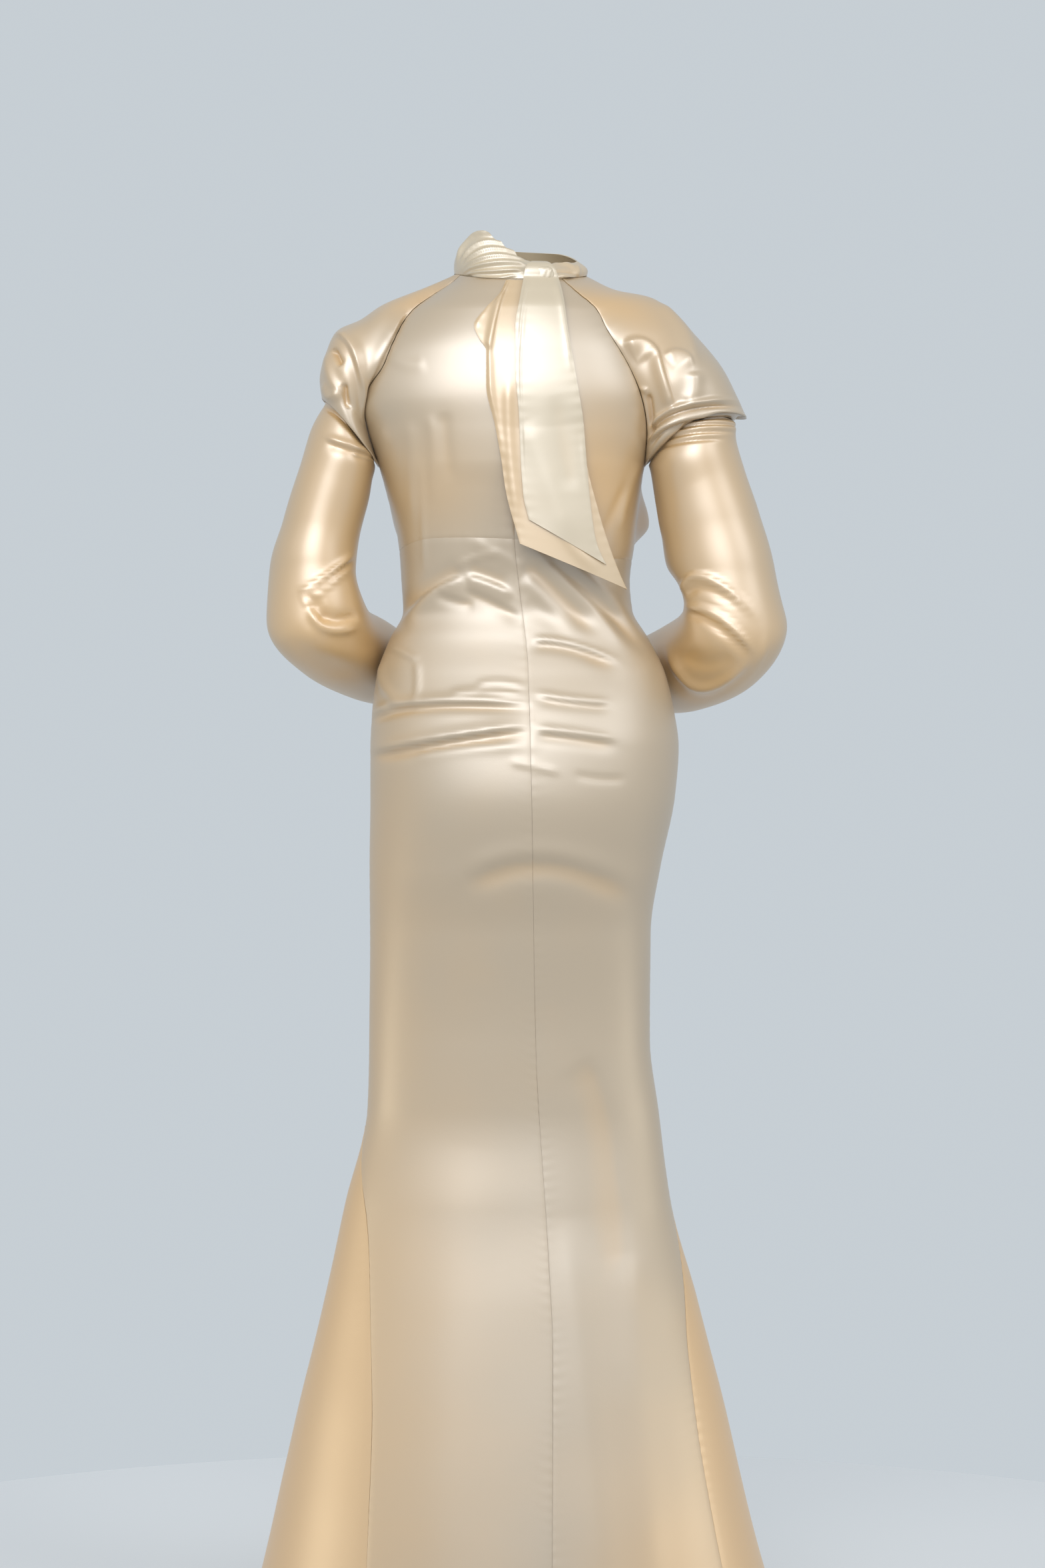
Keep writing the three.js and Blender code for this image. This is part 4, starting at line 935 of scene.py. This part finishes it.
def collar_points(columns, rows):
    """The collar, from the neck seam up to its rim."""
    foot = neckline()(np.linspace(0, 1, columns, endpoint=False))[None]
    v = np.linspace(0, 1, rows)[:, None, None]
    turn = np.arctan2(foot[..., 1] - COLLAR_TOP["mid"], foot[..., 0])
    degrees = np.degrees(np.where(turn < 0, turn + 2 * math.pi, turn))
    wide = np.where(foot[..., 0] > 0, COLLAR_TOP["left"], COLLAR_TOP["right"])
    deep = np.where(turn > 0, COLLAR_TOP["back"], COLLAR_TOP["front"])
    rim = 1 / np.hypot(np.cos(turn) / wide, np.sin(turn) / deep)
    top_z, bulge = (by_station(COLLAR_ROWS, column)(degrees) for column in (1, 2))
    top = np.stack([rim * np.cos(turn), COLLAR_TOP["mid"] + rim * np.sin(turn), top_z], -1)
    way = np.stack([np.cos(turn), np.sin(turn), 0 * turn], -1)
    lifted = foot + np.array([0, 0, 2 * SEAM])
    return lifted * (1 - v) + top * v + way * bulge[..., None] * np.sin(math.pi * v)


def back_y(x, z):
    """How far back the gown's back lies at x, z."""
    return trunk_point(trunk_angle(x, z, 1), z)[..., 1]


def over_the_knot(z):
    """How far the upper tail stands off the back where it rolls over the knot."""
    up = np.clip((z - TAIL_ROLL["z"]) / TAIL_ROLL["radius"], 0, 1)
    turned_in = TAIL_ROLL["deep"] * (1 - np.sqrt(1 - np.minimum(up, TAIL_ROLL["steepest"]) ** 2))
    return TAIL_ROLL["stand"] * smoothstep(z, TAIL_ROLL["fades"], TAIL_ROLL["z"]) - turned_in


def tail_points(rows_table, off, rolled):
    """A tail: it lies on the back, hangs free below it, ends in a point and may be rolled over the knot."""
    left_x, right_x = by_height(rows_table, 1), by_height(rows_table, 2)
    u = np.linspace(0, 1, TAIL_COLUMNS)[None, :]
    v = np.linspace(0, 1, TAIL_ROWS)[:, None]
    z = lerp(rows_table[0][0], rows_table[-1][0], v) + 0 * u
    x = lerp(left_x(z), right_x(z), u)
    low = z - TAIL_POINT * u * smoothstep(v, TAIL_POINT_FROM, 1)
    held = np.minimum(low, TAIL_TOP_Z)
    hung = back_y(x, np.full_like(low, HANG_FROM_Z)) - HANG_SLOPE * (HANG_FROM_Z - low)
    y = np.where(low < HANG_FROM_Z, np.maximum(back_y(x, held), hung), back_y(x, held))
    if rolled:
        y = y + over_the_knot(z)
    return np.stack([x, y + off, low], -1)


# Meshes and materials


def cloth(name, points, inside, slot, painted_shade, ring):
    """One piece of cloth: a bmesh grid moved onto the points, turned outwards, with its thickness."""
    rows, columns = points.shape[:2]
    cells_x, cells_y = (columns if ring else columns - 1), rows - 1
    made = bmesh.new()
    made.loops.layers.uv.new("cut")
    bmesh.ops.create_grid(made, x_segments=cells_x, y_segments=cells_y, size=0.5, calc_uvs=True)
    if len(made.verts) != (cells_x + 1) * (cells_y + 1):
        raise RuntimeError(f"{name}: the grid has {len(made.verts)} corners")
    _, turn = normals_of(points, inside, ring)
    # Painted shade: the gold painted into the satin's colour is kept on each corner
    layer = made.verts.layers.float.new("painted_shade")
    for vert in made.verts:
        i = round((vert.co.x + 0.5) * cells_x) % columns
        j = round((0.5 - vert.co.y) * cells_y)
        vert.co = Vector(points[j, i] * MM)
        vert[layer] = painted_shade[j, i]
    if ring:
        bmesh.ops.remove_doubles(made, verts=made.verts, dist=MM * MM)
    if turn > 0:
        bmesh.ops.reverse_faces(made, faces=made.faces)
    for edge in made.edges:
        if edge.is_boundary:
            edge.smooth = False
    for face in made.faces:
        face.smooth = True
    mesh = bpy.data.meshes.new(f"{name}_cloth")
    made.to_mesh(mesh)
    made.free()
    piece = bpy.data.objects.new(f"{name}_cloth", mesh)
    bpy.context.collection.objects.link(piece)
    mesh.materials.append(cloth_material(slot))
    shell = piece.modifiers.new("thickness", "SOLIDIFY")
    shell.thickness = CLOTH_WALL * MM
    shell.offset = -1
    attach(piece, BODY)
    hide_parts(name)


def painted_shade_at(points, height, patches):
    """Painted shade: how much gold is painted into the satin's colour, deeper in the troughs of its folds
    and in the shaded or warmly reflecting places named.
    """
    painted_shade = PAINTED_TROUGH_SHADE * smoothstep(-height, *TROUGH_DEPTH)
    for x, z, wide, tall, amount in patches:
        distance = ((points[..., 0] - x) / wide) ** 2 + ((points[..., 2] - z) / tall) ** 2
        painted_shade = painted_shade + amount * np.exp(-distance)
    return np.clip(painted_shade, 0, 1)


class Value:
    """A number socket of a shader, so that shader maths reads as ordinary expressions."""

    def __init__(self, shader, socket):
        self.shader = shader
        self.socket = socket

    def maths(self, operation, first, second):
        return self.shader.value("ShaderNodeMath", {"operation": operation}, {0: first, 1: second})

    def __add__(self, other):
        return self.maths("ADD", self, other)

    def __radd__(self, other):
        return self.maths("ADD", other, self)

    def __sub__(self, other):
        return self.maths("SUBTRACT", self, other)

    def __rsub__(self, other):
        return self.maths("SUBTRACT", other, self)

    def __mul__(self, other):
        return self.maths("MULTIPLY", self, other)

    def __rmul__(self, other):
        return self.maths("MULTIPLY", other, self)


class Shader:
    """A material's nodes, added one at a time by type, settings and sockets."""

    def __init__(self, name):
        self.material = bpy.data.materials.new(name)
        self.material.use_nodes = True
        self.tree = self.material.node_tree
        self.tree.nodes.clear()

    def node(self, kind, settings, sockets):
        made = self.tree.nodes.new(kind)
        for setting, value in settings.items():
            setattr(made, setting, value)
        for socket, value in sockets.items():
            if isinstance(value, Value):
                value = value.socket
            if isinstance(value, bpy.types.NodeSocket):
                self.tree.links.new(value, made.inputs[socket])
            else:
                made.inputs[socket].default_value = value
        return made

    def value(self, kind, settings, sockets, output=0):
        return Value(self, self.node(kind, settings, sockets).outputs[output])


def satin(name, light, painted_shade_gold, gloss, grain, crumple):
    """Satin: cream with gold painted in as shade and warm reflection by its painted shade attribute, a fine
    grain and a soft crumple under its sheen.
    """
    shader = Shader(name)
    place = shader.node("ShaderNodeTexCoord", {}, {}).outputs["Object"]
    painted_shade = shader.value("ShaderNodeAttribute", {"attribute_name": "painted_shade"}, {}, "Fac")
    patchy = shader.value("ShaderNodeTexNoise", {}, {"Vector": place, **PATCHY}, "Fac")
    # Painted shade: cream turns gold where the painted shade is high; the patchy noise is random tone
    mix = shader.node("ShaderNodeMix", {"data_type": "RGBA", "clamp_factor": True}, {
        "Factor": painted_shade + (patchy - 0.5) * PATCHY_SHARE,
        6: (*light, 1),
        7: (*painted_shade_gold, 1),
    })
    fine = shader.value("ShaderNodeTexNoise", {}, {"Vector": place, **GRAIN}, "Fac")
    soft = shader.value("ShaderNodeTexNoise", {}, {"Vector": place, **CRUMPLE}, "Fac")
    bumps = shader.node("ShaderNodeBump", {}, {
        "Strength": 1.0,
        "Distance": 1.0,
        "Height": fine * grain + soft * crumple,
    })
    cloth_shader = shader.node("ShaderNodeBsdfPrincipled", {}, {
        "Base Color": mix.outputs[2],
        "Metallic": SATIN_METAL,
        "Roughness": gloss,
        "Coat Weight": SHEEN["weight"],
        "Coat IOR": SHEEN["ior"],
        "Coat Roughness": gloss,
        "Normal": bumps.outputs["Normal"],
    })
    shader.node("ShaderNodeOutputMaterial", {}, {"Surface": cloth_shader.outputs["BSDF"]})
    return shader.material


def plain(name, colour, roughness):
    """A matt material of one colour."""
    shader = Shader(name)
    matt = shader.node("ShaderNodeBsdfPrincipled", {}, {"Base Color": (*colour, 1), "Roughness": roughness})
    shader.node("ShaderNodeOutputMaterial", {}, {"Surface": matt.outputs["BSDF"]})
    return shader.material


def cloth_material(slot):
    """The satin of a slot of the record: smooth above, with a pebbled grain on the skirt."""
    settings = bpy.context.scene.gown
    name = f"woven_{slot}"
    known = bpy.data.materials.get(name)
    if known:
        return known
    grain = settings.skirt_grain if slot == "skirt_satin" else settings.bodice_grain
    light = settings.scarf if slot == "scarf_satin" else settings.cream
    gloss = settings.skirt_roughness if slot == "skirt_satin" else settings.roughness
    return satin(name, light, settings.painted_shade_gold, gloss, grain, settings.crumple)


# The pieces


def dress(name, points, inside, slot, seams=(), folds=(), relief=0.0, ring=False):
    """Wears a piece of cloth in and makes it; gold is painted into it as shade where it lies low and in the
    places listed.
    """
    normals, _ = normals_of(points, inside, ring)
    height = worn(name, points, normals, seams, folds, ring)
    moved = points + normals * height[..., None]
    painted_shade = painted_shade_at(moved, height + relief, PAINTED_SHADE_PATCHES.get(name, ()))
    cloth(name, moved, inside, slot, painted_shade, ring)


def dress_panel(name, points, seams, slot):
    """A panel of the trunk, with painted shade in the low places of the trunk's relief too."""
    x, z = points[..., 0], points[..., 2]
    mid = side_line(z)
    y = points[..., 1] - mid
    inside = np.stack([np.zeros_like(x), mid, z], -1)
    dress(name, points, inside, slot, seams, relief=trunk_relief(x, z, y, np.arctan2(y, x)))


class GOWN_OT_bodice(bpy.types.Operator):
    """The bodice: two back panels either side of the centre back seam, and the full front"""

    bl_idname = "gown.bodice"
    bl_label = "Bodice"

    def execute(self, context):
        seams = ("first", "last", "bottom")
        waist_back = waist_z(math.pi / 2)
        for which, side_angle in (("left", 0.0), ("right", math.pi)):
            edge = bodice_edge(ARMS[which]["back"], side_angle)
            centre = centre_back_edge(edge, NECK_BACK_Z, waist_back)
            points = trunk_panel(
                centre, edge, BACK_COLUMNS,
                lambda u, angle: lerp(NECK_BACK_Z, edge[1][0], u * u),
                waist_line,
            )
            dress_panel(f"bodice_back_{which}", points, seams, "satin")
        left = bodice_edge(ARMS["left"]["front"], 0.0)
        right = bodice_edge(ARMS["right"]["front"], -math.pi)
        points = trunk_panel(
            left, right, FRONT_COLUMNS,
            lambda u, angle: lerp(NECK_FRONT_Z, left[1][0], (2 * u - 1) ** 2),
            waist_line,
        )
        dress_panel("bodice_front", points, seams, "satin")
        return {"FINISHED"}


class GOWN_OT_skirt(bpy.types.Operator):
    """The skirt: two back panels and one front, fitted to the knee"""

    bl_idname = "gown.skirt"
    bl_label = "Skirt"

    def execute(self, context):
        seams = ("first", "last", "top")
        share = np.linspace(0, 1, SKIRT_ROWS)

        def side_edge(which, side_angle, way):
            z = lerp(waist_z(side_angle), HEM_Z, share)
            return skirt_edge(z, side_angle, GODETS[which], way)

        for which, side_angle, way in (("left", 0.0, 1), ("right", math.pi, -1)):
            edge = side_edge(which, side_angle, way)
            centre = centre_back_edge(edge, waist_z(math.pi / 2), HEM_Z)
            points = trunk_panel(centre, edge, SKIRT_BACK_COLUMNS, waist_line, hem_line)
            dress_panel(f"skirt_back_{which}", points, seams, "skirt_satin")
        left = side_edge("left", 0.0, -1)
        right = side_edge("right", -math.pi, 1)
        points = trunk_panel(left, right, SKIRT_FRONT_COLUMNS, waist_line, hem_line)
        dress_panel("skirt_front", points, seams, "skirt_satin")
        return {"FINISHED"}


class GOWN_OT_godets(bpy.types.Operator):
    """The godets: wedges let into the side seams from the knee to the hem"""

    bl_idname = "gown.godets"
    bl_label = "Godets"

    def execute(self, context):
        for which, side_angle, way in (("left", 0.0, 1), ("right", math.pi, -1)):
            godet = GODETS[which]
            z = np.linspace(godet["apex"] - SEAM, HEM_Z, GODET_ROWS)
            back = skirt_edge(z, side_angle, godet, way)
            front = skirt_edge(z, side_angle, godet, -way)
            points = trunk_panel(
                back, front, GODET_COLUMNS,
                lambda u, angle: np.full_like(angle, z[0]),
                hem_line,
            )
            dress_panel(f"godet_{which}", points, ("first", "last"), "skirt_satin")
        return {"FINISHED"}


class GOWN_OT_sleeves(bpy.types.Operator):
    """The arms: raglan caps with their rolled lips, lower sleeves and plain cuffs"""

    bl_idname = "gown.sleeves"
    bl_label = "Shoulders and sleeves"

    def execute(self, context):
        side = np.linspace(-1, 1, CAP_COLUMNS)[None, :]
        t = np.linspace(0, 1, CAP_ROWS_DOWN)[:, None] ** CAP_CROWDING
        for which, arm in ARMS.items():
            lip = [lip_point(arm, side[0], share) for share in np.linspace(0, 1, LIP_STEPS)[1:]]
            points = np.concatenate([cap_point(arm, t, side), np.array(lip)])
            inside = np.zeros_like(points) + np.array([CAP_INSIDE["x"] * arm["side"], 0.0, CAP_INSIDE["z"]])
            dress(f"shoulder_{which}", points, inside, "satin", ("first", "last"), arm["cap_folds"])
            last = len(arm["rings"]) - 1
            for name, start, stop, rows, folds in (
                (f"sleeve_{which}", 0.0, last - 1 - CUFF_GAP, SLEEVE_ROWS, arm["sleeve_folds"]),
                (f"cuff_{which}", last - 1, last, CUFF_ROWS, ()),
            ):
                points = sleeve_points(arm, start, stop, rows, SLEEVE_COLUMNS)
                inside = np.broadcast_to(points.mean(axis=1, keepdims=True), points.shape)
                dress(name, points, inside, "satin", folds=folds, ring=True)
        return {"FINISHED"}


def tie_knot():
    """The knot: a rounded block with slanting grooves, lying on the back under the upper tail."""
    made = bmesh.new()
    bmesh.ops.create_uvsphere(made, radius=1, **KNOT_GRID)
    y = float(back_y(np.array(KNOT["x"]), np.array(KNOT_BACK_Z))) + UPPER_TAIL_OFF + KNOT["off"]
    for vert in made.verts:
        slant = vert.co.x + KNOT_GROOVES["slant"] * vert.co.z
        ripple = math.cos(KNOT_GROOVES["count"] * math.pi * slant)
        groove = 1 - KNOT_GROOVES["depth"] * ripple * max(vert.co.y, 0)
        x, z = (math.copysign(abs(value) ** KNOT["square"], value) for value in (vert.co.x, vert.co.z))
        vert.co = Vector((
            (KNOT["x"] + KNOT["wide"] * x * groove) * MM,
            (y + KNOT["deep"] * vert.co.y * groove) * MM,
            (KNOT["z"] + KNOT["high"] * z * groove) * MM,
        ))
    for face in made.faces:
        face.smooth = True
    mesh = bpy.data.meshes.new("knot_cloth")
    made.to_mesh(mesh)
    made.free()
    mesh.materials.append(cloth_material("scarf_satin"))
    knot = bpy.data.objects.new("knot_cloth", mesh)
    bpy.context.collection.objects.link(knot)
    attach(knot, BODY)
    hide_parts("knot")


class GOWN_OT_collar(bpy.types.Operator):
    """The wrapped collar, pleated on the wearer's left, and its knot"""

    bl_idname = "gown.collar"
    bl_label = "Collar and knot"

    def execute(self, context):
        points = collar_points(COLLAR_COLUMNS, COLLAR_STEPS)
        inside = points * np.array([0.0, 0.0, 1.0]) + np.array([0.0, COLLAR_TOP["mid"], 0.0])
        dress("collar", points, inside, "scarf_satin", folds=COLLAR_FOLDS, ring=True)
        tie_knot()
        return {"FINISHED"}


class GOWN_OT_tails(bpy.types.Operator):
    """The scarf's two tails, hanging from the knot down the back"""

    bl_idname = "gown.tails"
    bl_label = "Scarf tails"

    def execute(self, context):
        for name, table, off, rolled in (
            ("tail_under", UNDER_TAIL_ROWS, UNDER_TAIL_OFF, False),
            ("tail_upper", UPPER_TAIL_ROWS, UPPER_TAIL_OFF, True),
        ):
            points = tail_points(table, off, rolled)
            inside = points - np.array([0.0, TAIL_INSIDE, 0.0])
            dress(name, points, inside, "scarf_satin", ("first", "last"), TAIL_FOLDS[name])
        return {"FINISHED"}


class GOWN_OT_stage(bpy.types.Operator):
    """The pale room: its floor, soft lights and the camera"""

    bl_idname = "gown.stage"
    bl_label = "Stage"

    def execute(self, context):
        made = bmesh.new()
        bmesh.ops.create_circle(made, cap_ends=True, radius=FLOOR["radius"], segments=FLOOR_SIDES)
        bmesh.ops.translate(made, verts=made.verts, vec=(0, 0, FLOOR["z"]))
        mesh = bpy.data.meshes.new("floor")
        made.to_mesh(mesh)
        made.free()
        floor = bpy.data.objects.new("floor", mesh)
        context.collection.objects.link(floor)
        mesh.materials.append(plain("floor_paper", context.scene.gown.floor, FLOOR["roughness"]))

        for name, place, aim, size, power, spread, colour in LIGHTS:
            light = bpy.data.lights.new(name, "AREA")
            light.spread = math.radians(spread)
            light.shape = "RECTANGLE"
            light.size, light.size_y = size
            light.energy = power
            light.color = colour
            lamp = bpy.data.objects.new(name, light)
            lamp.location = place
            lamp.rotation_euler = (Vector(aim) - Vector(place)).to_track_quat("-Z", "Y").to_euler()
            context.collection.objects.link(lamp)

        world = bpy.data.worlds.new("room")
        context.scene.world = world
        world.use_nodes = True
        sky = world.node_tree.nodes["Background"]
        sky.inputs["Color"].default_value = (*context.scene.gown.room, 1)
        sky.inputs["Strength"].default_value = ROOM_LIGHT

        lens = bpy.data.cameras.new("camera")
        lens.sensor_width = SENSOR
        lens.lens = LENS
        camera = bpy.data.objects.new("camera", lens)
        camera.location = CAMERA
        camera.rotation_euler = (math.pi / 2, 0, math.pi)
        context.collection.objects.link(camera)
        context.scene.camera = camera
        context.scene.view_settings.view_transform = "Standard"
        return {"FINISHED"}


class GownSettings(bpy.types.PropertyGroup):
    """Colours and finishes of the gown and of its room"""

    cream: bpy.props.FloatVectorProperty(
        name="Cream", description="Colour of the satin where it catches the light",
        subtype="COLOR", size=3, min=0, max=1, default=(0.42, 0.305, 0.175))
    scarf: bpy.props.FloatVectorProperty(
        name="Scarf", description="Colour of the collar and the tails where they catch the light",
        subtype="COLOR", size=3, min=0, max=1, default=(0.53, 0.42, 0.265))
    # Painted shade: the gold painted into the troughs, godets and shaded places of the satin
    painted_shade_gold: bpy.props.FloatVectorProperty(
        name="Gold", description="Colour of the satin in its troughs and godets",
        subtype="COLOR", size=3, min=0, max=1, default=(0.60, 0.35, 0.11))
    room: bpy.props.FloatVectorProperty(
        name="Room", description="Colour of the pale room all round",
        subtype="COLOR", size=3, min=0, max=1, default=(0.57, 0.62, 0.66))
    floor: bpy.props.FloatVectorProperty(
        name="Floor", description="Colour of the floor",
        subtype="COLOR", size=3, min=0, max=1, default=(0.80, 0.81, 0.82))
    roughness: bpy.props.FloatProperty(
        name="Roughness", description="How broad the satin's sheen is",
        subtype="FACTOR", min=0, max=1, default=0.41)
    skirt_roughness: bpy.props.FloatProperty(
        name="Skirt roughness", description="How broad the sheen of the skirt's hammered satin is",
        subtype="FACTOR", min=0, max=1, default=0.46)
    skirt_grain: bpy.props.FloatProperty(
        name="Skirt grain", description="Height of the skirt's pebbled grain",
        subtype="DISTANCE", unit="LENGTH", precision=6, min=0, max=0.002, default=0.00009)
    bodice_grain: bpy.props.FloatProperty(
        name="Bodice grain", description="Height of the weave of the bodice, sleeves and scarf",
        subtype="DISTANCE", unit="LENGTH", precision=6, min=0, max=0.002, default=0.00001)
    crumple: bpy.props.FloatProperty(
        name="Crumple", description="Height of the satin's slight crumple",
        subtype="DISTANCE", unit="LENGTH", precision=6, min=0, max=0.005, default=0.0003)


PIECES = (
    GOWN_OT_bodice,
    GOWN_OT_skirt,
    GOWN_OT_godets,
    GOWN_OT_sleeves,
    GOWN_OT_collar,
    GOWN_OT_tails,
    GOWN_OT_stage,
)


class GOWN_PT_pieces(bpy.types.Panel):
    """The gown's pieces, in the sidebar"""

    bl_idname = "GOWN_PT_pieces"
    bl_label = "Gown"
    bl_space_type = "VIEW_3D"
    bl_region_type = "UI"
    bl_category = "Gown"

    def draw(self, context):
        column = self.layout.column()
        for name in GownSettings.__annotations__:
            column.prop(context.scene.gown, name)
        for operator in PIECES:
            column.operator(operator.bl_idname)


CLASSES = (GownSettings, *PIECES, GOWN_PT_pieces)


def register():
    for item in CLASSES:
        bpy.utils.register_class(item)
    bpy.types.Scene.gown = bpy.props.PointerProperty(type=GownSettings)


def unregister():
    del bpy.types.Scene.gown
    for item in reversed(CLASSES):
        bpy.utils.unregister_class(item)


def main():
    register()
    for make in (
        bpy.ops.gown.bodice,
        bpy.ops.gown.skirt,
        bpy.ops.gown.godets,
        bpy.ops.gown.sleeves,
        bpy.ops.gown.collar,
        bpy.ops.gown.tails,
        bpy.ops.gown.stage,
    ):
        make()


if __name__ == "__main__":
    main()
